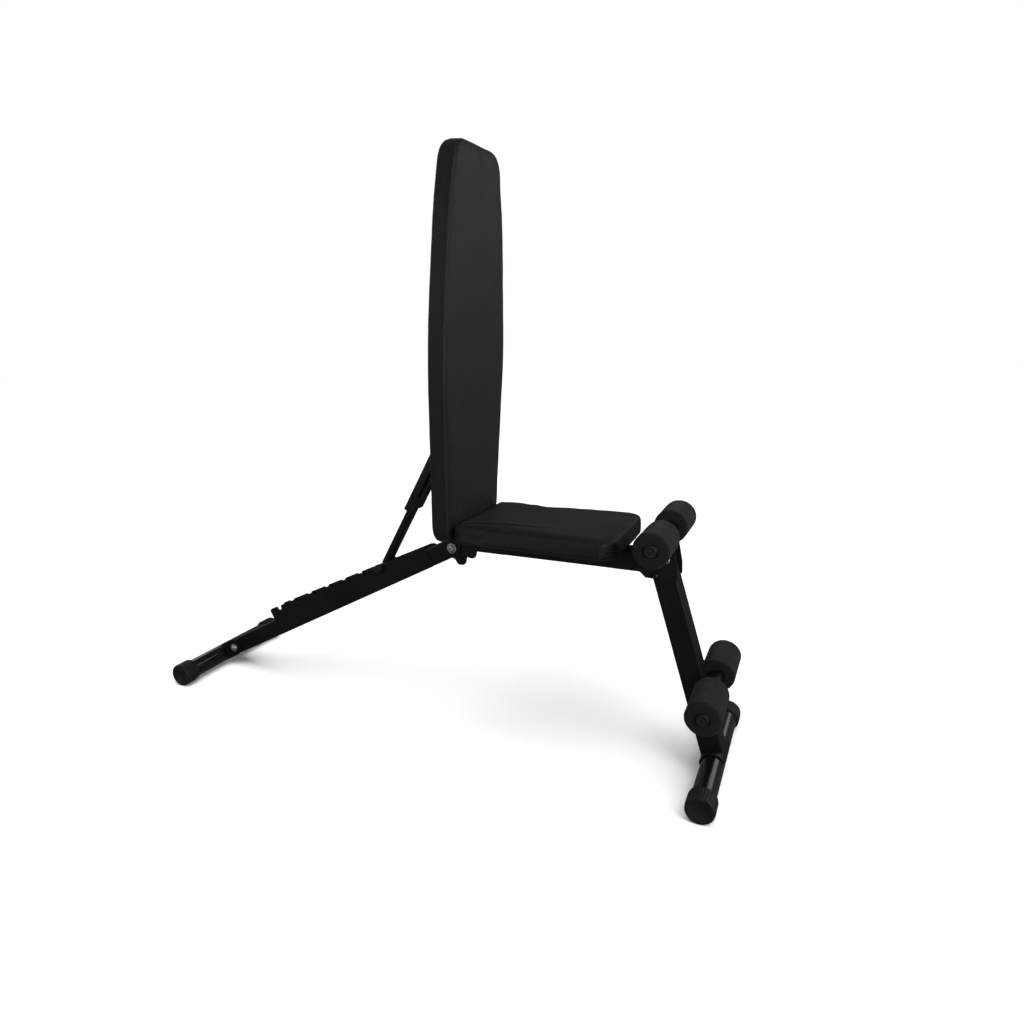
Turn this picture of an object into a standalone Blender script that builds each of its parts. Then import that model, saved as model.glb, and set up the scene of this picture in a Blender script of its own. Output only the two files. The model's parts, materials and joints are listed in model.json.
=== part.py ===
"""Adjustable folding weight bench.

Metres, +Z up.  +X points from the rear foot to the front foot, Y is across the bench, and the
origin is on the floor under the middle of the bench.  Each group that moves hangs on an empty
that stands on its pivot, and its pieces are laid out in that empty's own frame.
"""
from math import atan2, cos, pi, radians, sin, sqrt, tan

import bmesh
import bpy
from mathutils import Matrix, Vector

# ---------------------------------------------------------------- driving dimensions
FOOT_X = 0.6406                  # distance of each foot tube from the middle of the bench
CAP_RADIUS = 0.0277              # plastic foot cap, stands on the floor
FOOT_TUBE_RADIUS = 0.0225
REAR_FOOT_HALF = 0.1688          # half width of the rear foot over its caps
FRONT_FOOT_HALF = 0.1869
CAP_LENGTH = 0.038
CAP_END_WALL = 0.004

HINGE_X, HINGE_Z = 0.0743, 0.404         # main hinge bolt
TUBE_WIDTH = 0.045               # every frame tube is as wide as this
TUBE_WALL = 0.002
PLATE = 0.003                    # thickness of the bracket plates
GAP = 0.0003                     # between pieces that touch
RUNNING = 0.0006                 # round a bolt that another piece turns on

BEAM_HEIGHT = 0.040              # rear beam, across its length
LADDER_FRONT, LADDER_REAR = 0.066, 0.578         # distances from the main hinge along the beam
LADDER_FRONT_TOP = 0.0264        # top edge above the beam's centre line at the front
LADDER_TAPER = radians(2.69)
NOTCH_FIRST, NOTCH_PITCH, NOTCH_GROWTH = 0.2027, 0.0465, 0.00174
NOTCH_COUNT = 7
NOTCH_DEPTH = 0.0105
NOTCH_FLARE = radians(15)
REAR_BOLT_FROM_FOOT = 0.0493
BRACKET_RADIUS = 0.0215

RAIL_START, RAIL_END = 0.050, 0.408      # seat rail, distances ahead of the main hinge
RAIL_BOTTOM, RAIL_HEIGHT = 0.400, 0.040
SEAT_TOP, SEAT_THICKNESS = 0.484, 0.0405
SEAT_REAR, SEAT_FRONT = 0.0478, 0.384
SEAT_HALF_WIDTH = 0.121
BOARD_THICKNESS = 0.012
BOARD_INSET = 0.014              # upholstery wrapped round the edge of each board
SEAT_EDGE, BACK_EDGE = 0.009, 0.010      # rounding of each pad's edges

BACK_TILT = radians(2.5)         # the backrest leans this far forward of upright
BACK_FRONT = 0.041               # front of the pad, measured square to it from the hinge
BACK_THICKNESS = 0.0405
BACK_BOTTOM, BACK_TOP = 0.030, 0.790     # ends of the pad, measured along it from the hinge
BACK_TUBE_START, BACK_TUBE_END = 0.112, 0.600
BACK_TUBE_DEPTH = 0.015
HINGE_PLATE_TOP = 0.170          # top of the plates that join the backrest tube to the hinge
STRUT_PIVOT = (-0.0324, 0.225)   # upper pivot of the strut, in the backrest's frame
STRUT_WIDTH, STRUT_DEPTH = 0.025, 0.016
FORK_LENGTH, FORK_TOP = 0.176, 0.0095
PIN_RADIUS, PIN_HALF = 0.005, 0.0385
SLEEVE_WALL = 0.0017

FRONT_PIVOT_X, FRONT_PIVOT_Z = 0.440, 0.398      # X ahead of the main hinge
LEG_OFFSET = 0.0140              # centre line of the leg ahead of its pivot
LEG_TOP = 0.049                  # leg above its pivot
LOCK_ALONG, LOCK_AHEAD = 0.0255, 0.0285          # lock pin, from the pivot

FOAM_RADIUS = 0.0339
ROLLER_TUBE_RADIUS = 0.0127
TOP_ROLLER_X, TOP_ROLLER_Z, TOP_ROLLER_HALF = 0.4524, 0.4793, 0.1379
LOW_ROLLER_DROP = 0.1816         # height of the lower roller above the floor
LOW_ROLLER_HALF = 0.1468
FOAM_START = 0.0375
PLUG_FLANGE = 0.002

# ---------------------------------------------------------------- derived positions
HALF = TUBE_WIDTH / 2
LAYER_A = HALF + GAP             # plates against the tubes
LAYER_B = LAYER_A + PLATE + GAP  # plates outside those
OUTSIDE = LAYER_B + PLATE + GAP
HINGE = Vector((HINGE_X, 0, HINGE_Z))
REAR_FOOT = Vector((-FOOT_X, 0, CAP_RADIUS))
FRONT_FOOT = Vector((FOOT_X, 0, CAP_RADIUS))
BEAM_SLOPE = atan2(HINGE_Z - CAP_RADIUS, HINGE_X + FOOT_X)
BEAM_LENGTH = (HINGE - REAR_FOOT).length
REAR_BOLT = BEAM_LENGTH - REAR_BOLT_FROM_FOOT
FRONT_PIVOT = Vector((HINGE_X + FRONT_PIVOT_X, 0, FRONT_PIVOT_Z))
TOP_ROLLER = Vector((HINGE_X + TOP_ROLLER_X, 0, TOP_ROLLER_Z))
LEG_FOOT = sqrt((FRONT_FOOT - FRONT_PIVOT).length ** 2 - LEG_OFFSET ** 2)
LEG_RISE = FRONT_PIVOT.z - FRONT_FOOT.z
LEG_ANGLE = atan2(FRONT_FOOT.x - FRONT_PIVOT.x, LEG_RISE) - atan2(LEG_OFFSET, LEG_FOOT)
LOW_ROLLER_AHEAD = LEG_OFFSET + HALF + GAP + ROLLER_TUBE_RADIUS
LOW_ROLLER_DOWN = (FRONT_PIVOT_Z - LOW_ROLLER_DROP + LOW_ROLLER_AHEAD * sin(LEG_ANGLE)) / cos(LEG_ANGLE)
RAIL_TOP = RAIL_BOTTOM + RAIL_HEIGHT
SEAT_BOTTOM = SEAT_TOP - SEAT_THICKNESS
BACK_REAR = BACK_FRONT - BACK_THICKNESS
BACK_TUBE_FACE = BACK_REAR - GAP - BACK_TUBE_DEPTH
BACK_TUBE_HALF = LAYER_B - GAP

M12, M8, M6 = 0.006, 0.004, 0.003        # radii of the bolts
BUSH_WALL = 0.0026
SEAT_SCREW_X, SEAT_SCREW_Y = (0.112, 0.318), 0.068
STOP_ARM, STOP_BAR = 0.015, 0.003        # bar in the beam that runs in the brackets' arc slots
STOP_ANGLE, LEG_FOLD = radians(100), radians(106)
STOP_PLACE = (STOP_ARM * cos(STOP_ANGLE - BEAM_SLOPE), STOP_ARM * sin(STOP_ANGLE - BEAM_SLOPE))
STUD_X, STUD_Z = 0.0205, -0.0245         # studs that stop the backrest going past upright
LOCK_TIP = 0.004
LOCK_X = FRONT_PIVOT_X + LOCK_AHEAD * cos(LEG_ANGLE) - LOCK_ALONG * sin(LEG_ANGLE)
LOCK_Z = FRONT_PIVOT_Z - HINGE_Z + LOCK_ALONG * cos(LEG_ANGLE) + LOCK_AHEAD * sin(LEG_ANGLE)
BRACKET_FACE = LAYER_A + PLATE + GAP

SIDES = ((1, "left"), (-1, "right"))
ROUND_SIDES = 24
CORNER_STEPS = 5


# ---------------------------------------------------------------- scene, collections, materials
def clear_scene():
    for obj in list(bpy.data.objects):
        bpy.data.objects.remove(obj)


def new_collection(name):
    collection = bpy.data.collections.new(name)
    bpy.context.scene.collection.children.link(collection)
    return collection


def make_material(name, colour, roughness, metallic=0.0):
    material = bpy.data.materials.new(name)
    material.use_nodes = True
    shader = material.node_tree.nodes["Principled BSDF"]
    shader.inputs["Base Color"].default_value = (*colour, 1)
    shader.inputs["Roughness"].default_value = roughness
    shader.inputs["Metallic"].default_value = metallic
    return material


clear_scene()
PARTS = new_collection("weight_bench")
CUTTERS = new_collection("cutters")


def axis_frame(name, position, turn_y=0.0):
    """An empty on a pivot; turn_y turns its frame about +Y."""
    empty = bpy.data.objects.new(name, None)
    empty.location = position
    empty.rotation_euler = (0, turn_y, 0)
    PARTS.objects.link(empty)
    return empty


FRAME = axis_frame("seat_frame_axis", HINGE)
BACKREST = axis_frame("backrest_axis", HINGE, BACK_TILT)
REAR_LEG = axis_frame("rear_leg_axis", HINGE, -BEAM_SLOPE)
FRONT_LEG = axis_frame("front_leg_axis", FRONT_PIVOT, -LEG_ANGLE)

COATED = ((0.012, 0.012, 0.013), 0.38, 0.0)
ZINC = ((0.62, 0.62, 0.60), 0.32, 1.0)
PLASTIC = ((0.010, 0.010, 0.010), 0.55, 0.0)
FOAM = ((0.016, 0.016, 0.016), 0.90, 0.0)
LEATHER = ((0.020, 0.021, 0.024), 0.45, 0.0)
PLYWOOD = ((0.42, 0.29, 0.17), 0.75, 0.0)


# ---------------------------------------------------------------- outlines
def arc(x, y, radius, start, end, steps):
    """Points on an arc about (x, y), from angle start to angle end."""
    angles = [start + (end - start) * i / steps for i in range(steps + 1)]
    return [(x + radius * cos(a), y + radius * sin(a)) for a in angles]


def circle(x, y, radius, sides=ROUND_SIDES):
    return arc(x, y, radius, 0, 2 * pi * (1 - 1 / sides), sides - 1)


def arc_slot(radius, half_width, start, end):
    """A slot with round ends along an arc about the origin."""
    points = arc(0, 0, radius + half_width, start, end, 14)
    points += arc(radius * cos(end), radius * sin(end), half_width, end, end + pi, 6)[1:-1]
    points += arc(0, 0, radius - half_width, end, start, 14)
    points += arc(radius * cos(start), radius * sin(start), half_width, start + pi, start + 2 * pi, 6)[1:-1]
    return points


def rounded(corners, steps=CORNER_STEPS):
    """A closed outline from (x, y, radius) corners, each rounded by an arc."""
    points = []
    count = len(corners)
    for i, (x, y, radius) in enumerate(corners):
        here = Vector((x, y))
        if radius == 0:
            points.append((x, y))
            continue
        back = (Vector(corners[i - 1][:2]) - here).normalized()
        ahead = (Vector(corners[(i + 1) % count][:2]) - here).normalized()
        half_angle = back.angle(ahead) / 2
        centre = here + (back + ahead).normalized() * radius / sin(half_angle)
        first = here + back * radius / tan(half_angle) - centre
        last = here + ahead * radius / tan(half_angle) - centre
        start = atan2(first.y, first.x)
        sweep = (atan2(last.y, last.x) - start + pi) % (2 * pi) - pi
        points += arc(centre.x, centre.y, radius, start, start + sweep, steps)
    return points


def rectangle(width, height, radius=0.0, x=0.0, y=0.0):
    w, h = width / 2, height / 2
    corners = ((x - w, y - h), (x + w, y - h), (x + w, y + h), (x - w, y + h))
    return rounded([(*corner, radius) for corner in corners], 3)


# ---------------------------------------------------------------- solids
def finish(obj, parent, look, smooth=True):
    """Put a piece on its pivot frame and give it a material of its own."""
    obj.parent = parent
    material = make_material(obj.name + "_finish", *look)
    obj.data.materials.clear()
    obj.data.materials.append(material)
    if smooth and obj.type == "MESH":
        obj.data.shade_smooth()
        obj.data.set_sharp_from_angle(angle=radians(35))
    return obj


def to_mesh(curve):
    """Replace a curve object by a welded mesh with the same name and place."""
    bpy.context.view_layer.update()
    graph = bpy.context.evaluated_depsgraph_get()
    mesh = bpy.data.meshes.new_from_object(curve.evaluated_get(graph))
    bm = bmesh.new()
    bm.from_mesh(mesh)
    bmesh.ops.remove_doubles(bm, verts=bm.verts, dist=0.00001)
    bmesh.ops.recalc_face_normals(bm, faces=bm.faces)
    bm.to_mesh(mesh)
    bm.free()
    name, matrix, home = curve.name, curve.matrix_world.copy(), curve.users_collection[0]
    bpy.data.objects.remove(curve)
    obj = bpy.data.objects.new(name, mesh)
    obj.matrix_world = matrix
    home.objects.link(obj)
    return obj


def slab(name, loops, thickness, edge=0.0, collection=None):
    """A flat outline, with holes for its inner loops, given thickness along its own Z."""
    data = bpy.data.curves.new(name, "CURVE")
    data.dimensions = "2D"
    data.fill_mode = "BOTH"
    data.extrude = thickness / 2 - edge
    data.bevel_depth = edge
    data.bevel_resolution = 1
    data.offset = -edge
    for loop in loops:
        spline = data.splines.new("POLY")
        spline.points.add(len(loop) - 1)
        for point, (x, y) in zip(spline.points, loop):
            point.co = (x, y, 0, 1)
        spline.use_cyclic_u = True
    obj = bpy.data.objects.new(name, data)
    (collection or PARTS).objects.link(obj)
    return to_mesh(obj)


def side_plate(name, loops, inner, parent, look, thickness=PLATE):
    """A plate square to Y; inner is the Y of its face nearest the middle, signed by its side."""
    obj = slab(name, loops, thickness)
    obj.rotation_euler = (pi / 2, 0, 0)
    side = 1 if inner > 0 else -1
    obj.location = (0, inner + side * thickness / 2, 0)
    return finish(obj, parent, look)


def plate_pair(name, loops, inner, parent):
    """Matching left and right plates."""
    for side, word in SIDES:
        side_plate(name + "_" + word, loops, side * inner, parent, COATED)


def box_tube(name, start, end, height, parent, middle=0.0, width=TUBE_WIDTH, wall=TUBE_WALL, along="X"):
    """A hollow rectangular tube along X or Z; middle is the height (or X) of its centre line."""
    outer = rectangle(height, width, 0.004)
    inner = rectangle(height - 2 * wall, width - 2 * wall, 0.002)
    obj = slab(name, [outer, inner], end - start)
    centre = (start + end) / 2
    if along == "X":
        obj.rotation_euler = (0, pi / 2, 0)
        obj.location = (centre, 0, middle)
    else:
        obj.location = (middle, 0, centre)
    return finish(obj, parent, COATED)


def turned(name, profile, position, parent, look, closed=False, sides=ROUND_SIDES, collection=None):
    """A solid of revolution about Y; profile is (radius, y), running down its outer side."""
    mesh = bpy.data.meshes.new(name)
    bm = bmesh.new()
    points = [bm.verts.new((radius, 0, height)) for radius, height in profile]
    pairs = list(zip(points, points[1:]))
    if closed:
        pairs.append((points[-1], points[0]))
    for first, second in pairs:
        bm.edges.new((first, second))
    bm.to_mesh(mesh)
    bm.free()
    obj = bpy.data.objects.new(name, mesh)
    (collection or PARTS).objects.link(obj)
    screw = obj.modifiers.new("turn", "SCREW")
    screw.axis = "Z"
    screw.steps = sides
    screw.render_steps = sides
    screw.use_merge_vertices = True
    screw.merge_threshold = 0.00001
    obj.rotation_euler = (-pi / 2, 0, 0)
    obj.location = position
    return finish(obj, parent, look, smooth=False)


def ring(name, outer, inner, low, high, position, parent, look, sides=ROUND_SIDES):
    """A tube about Y between the heights low and high."""
    profile = [(outer, high), (outer, low), (inner, low), (inner, high)]
    return turned(name, profile, position, parent, look, closed=True, sides=sides)


def cross_cutter(name, x, z, radius, half_length, parent, sides=ROUND_SIDES, y=0.0):
    """A cylinder along Y that drills a hole."""
    mesh = bpy.data.meshes.new(name)
    bm = bmesh.new()
    bmesh.ops.create_cone(bm, cap_ends=True, segments=sides, radius1=radius, radius2=radius,
                          depth=2 * half_length)
    bm.to_mesh(mesh)
    bm.free()
    obj = bpy.data.objects.new(name, mesh)
    obj.rotation_euler = (pi / 2, 0, 0)
    obj.location = (x, y, z)
    return hide_cutter(obj, parent)


def block_cutter(name, loops, thickness, rotation, location, parent):
    """A cutter with a flat outline."""
    obj = slab(name, loops, thickness)
    PARTS.objects.unlink(obj)
    obj.rotation_euler = rotation
    obj.location = location
    return hide_cutter(obj, parent)


def hide_cutter(obj, parent):
    CUTTERS.objects.link(obj)
    obj.parent = parent
    obj.hide_render = True
    obj.display_type = "WIRE"
    return obj


def cut(obj, cutter, solver="EXACT"):
    """Cut a hole.  The long thin faces of tubes and pads need the MANIFOLD solver."""
    modifier = obj.modifiers.new("cut_" + cutter.name, "BOOLEAN")
    modifier.operation = "DIFFERENCE"
    modifier.solver = solver
    modifier.object = cutter


def bolt(name, x, z, shank, reach, parent, look=ZINC, head=0.0105, seat=OUTSIDE):
    """A bolt along Y: washer face and domed head on the right, shank end past the nut on the left."""
    dome = 0.0052
    flange = 0.0018
    profile = [(0, -(seat + flange + dome)), (head * 0.45, -(seat + flange + dome)),
               (head * 0.78, -(seat + flange + dome * 0.62)), (head * 0.86, -(seat + flange)),
               (head, -(seat + flange)), (head, -seat), (shank, -seat), (shank, reach), (0, reach)]
    return turned(name, profile[::-1], (x, 0, z), parent, look, sides=16)


def nut(name, x, z, bore, parent, look=ZINC, across=0.0105, seat=OUTSIDE, height=0.0075):
    """A hexagon nut with a washer face on the left."""
    outline = circle(0, 0, across, 6)
    obj = slab(name, [outline, circle(0, 0, bore, 16)], height)
    obj.rotation_euler = (pi / 2, 0, 0)
    obj.location = (x, seat + height / 2, z)
    return finish(obj, parent, look)


# ---------------------------------------------------------------- seat frame


def seat_rail():
    middle = RAIL_BOTTOM + RAIL_HEIGHT / 2 - HINGE_Z
    box_tube("seat_rail", RAIL_START, RAIL_END, RAIL_HEIGHT, FRAME, middle)


def hinge_brackets():
    """Plates that carry the rail on the main hinge; the arc slot guides the rear leg's stop bar."""
    low, top = RAIL_BOTTOM + 0.002 - HINGE_Z, RAIL_TOP - 0.002 - HINGE_Z
    corners = [(-0.0215, 0.0215, 0.0205), (-0.0215, -0.0215, 0.0205), (0.004, -0.0235, 0.010),
               (0.0125, -0.0365, 0.008), (0.030, -0.0365, 0.010), (0.0345, -0.0160, 0.006),
               (0.052, -0.0150, 0.006), (0.058, low, 0.004), (0.128, low, 0.006), (0.128, top, 0.010),
               (0.070, top, 0.010), (0.050, 0.0215, 0.010)]
    holes = [circle(0, 0, M12 + GAP, 20), circle(STUD_X, STUD_Z, M6 + GAP, 12),
             arc_slot(STOP_ARM, STOP_BAR + GAP, STOP_ANGLE, STOP_ANGLE + LEG_FOLD)]
    plate_pair("hinge_bracket", [rounded(corners)] + holes, LAYER_A, FRAME)


def leg_stop_bar():
    """Bar through the nose of the rear beam; the ends of the slots stop it at both ends of the fold."""
    end = LAYER_A + PLATE
    profile = [(0, end), (STOP_BAR, end), (STOP_BAR, -end), (0, -end)]
    turned("leg_stop_bar", profile, (STOP_PLACE[0], 0, STOP_PLACE[1]), REAR_LEG, ZINC, sides=12)


def back_stop_studs():
    """One stud in each bracket's lower lobe, with a head outside."""
    for side, word in SIDES:
        inner, outer = LAYER_A, LAYER_B + PLATE + 0.0045
        profile = [(0, outer), (0.0055, outer), (0.0055, LAYER_A + PLATE + GAP), (M6, LAYER_A + PLATE + GAP),
                   (M6, inner), (0, inner)]
        obj = turned("back_stop_" + word, profile, (STUD_X, 0, STUD_Z), FRAME, ZINC, sides=12)
        obj.rotation_euler = (-side * pi / 2, 0, 0)


def main_hinge():
    reach = OUTSIDE + 0.011
    bolt("main_hinge_bolt", 0, 0, M12, reach, FRAME, head=0.0112)
    nut("main_hinge_nut", 0, 0, M12 + GAP, FRAME)
    half = HALF - 0.0004
    ring("main_hinge_bush", M12 + BUSH_WALL, M12 + RUNNING, -half, half, (0, 0, 0), REAR_LEG, PLASTIC)


def seat_plates():
    """Flat bars across the rail, which the seat board is screwed to."""
    for word, x in zip(("rear", "front"), SEAT_SCREW_X):
        outline = rectangle(0.036, 0.168, 0.006)
        holes = [circle(0, side * SEAT_SCREW_Y, M6 + GAP, 12) for side in (1, -1)]
        obj = slab("seat_plate_" + word, [outline] + holes, PLATE)
        obj.location = (x, 0, RAIL_TOP + GAP + PLATE / 2 - HINGE_Z)
        finish(obj, FRAME, COATED)


def seat_outline(inset=0.0):
    rear, front, half = SEAT_REAR + inset, SEAT_FRONT - inset, SEAT_HALF_WIDTH - inset
    return rounded([(rear, -half + 0.006, 0.026), (front, -half, 0.034), (front, half, 0.034),
                    (rear, half - 0.006, 0.026)])


def back_outline(inset=0.0):
    """Backrest outline as (across, along): widest at the shoulders, narrower at both ends."""
    side = [(0.114, BACK_BOTTOM + inset, 0.040), (0.133, 0.42, 1.4), (0.1075, 0.690, 0.7),
            (0.083, BACK_TOP - inset, 0.034)]
    right = [(x - inset, y, radius) for x, y, radius in side]
    left = [(-x, y, radius) for x, y, radius in reversed(right)]
    return rounded(right + left)


def upholstery(name, outline, board_outline, thickness, edge):
    """A pad with a pocket in its underside; the board sits in the pocket, flush with it."""
    pad = slab(name, [outline], thickness, edge)
    pocket = slab(name + "_pocket", [board_outline], BOARD_THICKNESS + 2 * GAP)
    PARTS.objects.unlink(pocket)
    return pad, pocket


def seat_cushion():
    middle = (SEAT_TOP + SEAT_BOTTOM) / 2 - HINGE_Z
    pocket_outline = seat_outline(BOARD_INSET - GAP)
    pad, pocket = upholstery("seat_pad", seat_outline(), pocket_outline, SEAT_THICKNESS, SEAT_EDGE)
    pad.location.z = middle
    pocket.location.z = SEAT_BOTTOM + BOARD_THICKNESS / 2 - HINGE_Z
    hide_cutter(pocket, FRAME)
    finish(pad, FRAME, LEATHER)
    cut(pad, pocket, "MANIFOLD")
    holes = [circle(x, side * SEAT_SCREW_Y, M6 + GAP, 12) for x in SEAT_SCREW_X for side in (1, -1)]
    board = slab("seat_board", [seat_outline(BOARD_INSET)] + holes, BOARD_THICKNESS)
    board.location.z = SEAT_BOTTOM + BOARD_THICKNESS / 2 - HINGE_Z
    finish(board, FRAME, PLYWOOD)


# ---------------------------------------------------------------- front bracket and top roller
def front_brackets():
    """Plates on the front of the rail that hold the front leg and the top roller tube."""
    base = FRONT_PIVOT_X
    z = -HINGE_Z
    corners = [(0.352, RAIL_BOTTOM + 0.002 + z, 0.006), (0.409, 0.402 + z, 0.006), (0.420, 0.3915 + z, 0.006),
               (0.4815, 0.3890 + z, 0.006), (0.4805, 0.416 + z, 0.02), (0.472, 0.4600 + z, 0.006),
               (0.4650, 0.4662 + z, 0.003), (0.4390, 0.4662 + z, 0.003), (0.4210, 0.4380 + z, 0.010),
               (0.352, 0.4380 + z, 0.006)]
    holes = [circle(base, FRONT_PIVOT_Z + z, M8 + GAP, 16), circle(LOCK_X, LOCK_Z, LOCK_TIP + 2 * GAP, 16)]
    plate_pair("front_bracket", [rounded(corners)] + holes, LAYER_A, FRAME)


def front_pivot():
    x, z = FRONT_PIVOT_X, FRONT_PIVOT_Z - HINGE_Z
    reach = BRACKET_FACE + 0.009
    bolt("front_pivot_bolt", x, z, M8, reach, FRAME, look=COATED, head=0.008, seat=BRACKET_FACE)
    nut("front_pivot_nut", x, z, M8 + GAP, FRAME, COATED, 0.0078, BRACKET_FACE, 0.0065)


def lock_pin():
    """Spring plunger on the left bracket: a fixed barrel, and a pin with a knob that pulls out."""
    barrel_end = BRACKET_FACE + 0.016
    barrel = [(0.0095, BRACKET_FACE + 0.005), (0.0095, BRACKET_FACE), (0.0060, BRACKET_FACE),
              (0.0060, barrel_end), (0.0078, barrel_end), (0.0078, BRACKET_FACE + 0.005)]
    turned("lock_barrel", barrel, (LOCK_X, 0, LOCK_Z), FRAME, ZINC, closed=True, sides=16)
    tip = HALF - TUBE_WALL + 0.0002
    knob_low = barrel_end + 0.002
    knob = [(0, knob_low + 0.016), (0.007, knob_low + 0.016), (0.0105, knob_low + 0.012),
            (0.0105, knob_low + 0.004), (0.0085, knob_low), (LOCK_TIP, knob_low), (LOCK_TIP, tip), (0, tip)]
    turned("lock_pin", knob, (LOCK_X, 0, LOCK_Z), FRAME, PLASTIC, sides=16)
    rivet = [(0, -LAYER_A), (LOCK_TIP, -LAYER_A), (LOCK_TIP, -BRACKET_FACE), (0.0066, -BRACKET_FACE),
             (0.0066, -BRACKET_FACE - 0.0015), (0.0045, -BRACKET_FACE - 0.003), (0, -BRACKET_FACE - 0.003)]
    turned("bracket_rivet", rivet, (LOCK_X, 0, LOCK_Z), FRAME, ZINC, sides=16)


def roller_tube(name, half, position, parent):
    """Thin tube through a pair of foam rollers, with a plug in each end."""
    inner = ROLLER_TUBE_RADIUS - 0.0015
    ring(name, ROLLER_TUBE_RADIUS, inner, -half + PLUG_FLANGE, half - PLUG_FLANGE, position, parent, COATED)
    for side, word in SIDES:
        start = half - PLUG_FLANGE + GAP
        profile = [(0, start + 0.0025), (0.0090, start + 0.0025), (0.0112, start + 0.0012), (0.0112, start),
                   (inner - GAP, start), (inner - GAP, start - 0.014), (0, start - 0.014)]
        obj = turned(name.replace("tube", "plug_") + word, profile, position, parent, PLASTIC, sides=16)
        obj.rotation_euler = (-side * pi / 2, 0, 0)


def foam_pair(name, half, position):
    """Two foam sleeves on a roller tube, each on an axis frame of its own."""
    for side, word in SIDES:
        frame = axis_frame(name + "_" + word + "_axis", position)
        low, high = sorted((side * FOAM_START, side * (half - PLUG_FLANGE - 0.0006)))
        edge = 0.004
        bore = ROLLER_TUBE_RADIUS + RUNNING
        profile = [(FOAM_RADIUS - edge, high), (FOAM_RADIUS - edge * 0.3, high - edge * 0.3),
                   (FOAM_RADIUS, high - edge), (FOAM_RADIUS, low + edge),
                   (FOAM_RADIUS - edge * 0.3, low + edge * 0.3), (FOAM_RADIUS - edge, low), (bore, low),
                   (bore, high)]
        turned(name + "_" + word, profile, (0, 0, 0), frame, FOAM, closed=True)


# ---------------------------------------------------------------- backrest
def back_cushion():
    turn = (pi / 2, 0, pi / 2)
    pocket_outline = back_outline(BOARD_INSET - GAP)
    pad, pocket = upholstery("back_pad", back_outline(), pocket_outline, BACK_THICKNESS, BACK_EDGE)
    pad.rotation_euler = turn
    pad.location.x = (BACK_FRONT + BACK_REAR) / 2
    pocket.rotation_euler = turn
    pocket.location.x = BACK_REAR + BOARD_THICKNESS / 2
    hide_cutter(pocket, BACKREST)
    finish(pad, BACKREST, LEATHER)
    cut(pad, pocket, "MANIFOLD")
    board = slab("back_board", [back_outline(BOARD_INSET)], BOARD_THICKNESS)
    board.rotation_euler = turn
    board.location.x = BACK_REAR + BOARD_THICKNESS / 2
    finish(board, BACKREST, PLYWOOD)


def back_tube():
    """Tube down the back of the board."""
    middle = BACK_TUBE_FACE + BACK_TUBE_DEPTH / 2
    box_tube("back_tube", BACK_TUBE_START, BACK_TUBE_END, BACK_TUBE_DEPTH, BACKREST, middle,
             2 * BACK_TUBE_HALF, along="Z")
    depth = BACK_TUBE_DEPTH - 2 * TUBE_WALL - 2 * GAP
    width = 2 * BACK_TUBE_HALF - 2 * TUBE_WALL - 2 * GAP
    plug = slab("back_tube_plug", [rectangle(depth, width, 0.002)], 0.016)
    plug.location = (middle, 0, BACK_TUBE_END - 0.008)
    finish(plug, BACKREST, PLASTIC)


def back_hinges():
    """Plates from the backrest tube down to the main hinge bolt, outside the seat brackets."""
    rear = BACK_TUBE_FACE + 0.001
    front = BACK_REAR - GAP
    corners = [(-0.0205, 0.004, 0.010), (-0.0195, -0.0195, 0.0185), (0.0195, -0.0195, 0.0185),
               (0.0205, 0.016, 0.012), (front, BACK_BOTTOM - 0.004, 0.002), (front, HINGE_PLATE_TOP, 0.003),
               (rear, HINGE_PLATE_TOP, 0.006)]
    plate_pair("back_hinge", [rounded(corners), circle(0, 0, M12 + RUNNING, 20)], LAYER_B, BACKREST)


def strut_bracket():
    """Channel on the back of the tube whose two ears hold the upper strut bolt."""
    x, z = STRUT_PIVOT
    front = BACK_TUBE_FACE - GAP
    inner = STRUT_WIDTH / 2 + 0.0012
    outer = inner + PLATE
    rear = x - 0.0085
    outline = [(rear, -outer), (front, -outer), (front, outer), (rear, outer), (rear, inner),
               (front - PLATE, inner), (front - PLATE, -inner), (rear, -inner)]
    channel = slab("strut_bracket", [outline], 0.030)
    channel.location.z = z
    finish(channel, BACKREST, COATED)
    cut(channel, cross_cutter("ear_hole", x, z, M8 + GAP, 0.03, BACKREST, 16))


def strut_bolt():
    x, z = STRUT_PIVOT
    bolt("strut_bolt", x, z, M8, LAYER_B + PLATE + GAP + 0.008, BACKREST, look=COATED, head=0.0075)


# ---------------------------------------------------------------- strut
def leg_point(along, above):
    """A point of the side view from rear beam coordinates: along towards the foot, and above."""
    x = -along * cos(BEAM_SLOPE) - above * sin(BEAM_SLOPE)
    z = -along * sin(BEAM_SLOPE) + above * cos(BEAM_SLOPE)
    return Vector((HINGE_X + x, 0, HINGE_Z + z))


def ladder_top(along):
    """Height of the ladder's top edge above the beam's centre line."""
    return LADDER_FRONT_TOP + (along - LADDER_FRONT) * tan(LADDER_TAPER)


def notch_along(index):
    return NOTCH_FIRST + NOTCH_PITCH * index + NOTCH_GROWTH * index ** 2


def seat_in_notch(index):
    """Where the strut's pin rests in a notch."""
    along = notch_along(index)
    return leg_point(along, ladder_top(along) - NOTCH_DEPTH + PIN_RADIUS)


STRUT_TOP = HINGE + Matrix.Rotation(BACK_TILT, 3, "Y") @ Vector((STRUT_PIVOT[0], 0, STRUT_PIVOT[1]))
STRUT_PIN = seat_in_notch(0)
STRUT_LENGTH = (STRUT_PIN - STRUT_TOP).length
STRUT_LEAN = atan2(STRUT_TOP.x - STRUT_PIN.x, STRUT_TOP.z - STRUT_PIN.z)
STRUT = axis_frame("strut_axis", STRUT_TOP, STRUT_LEAN)


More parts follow.
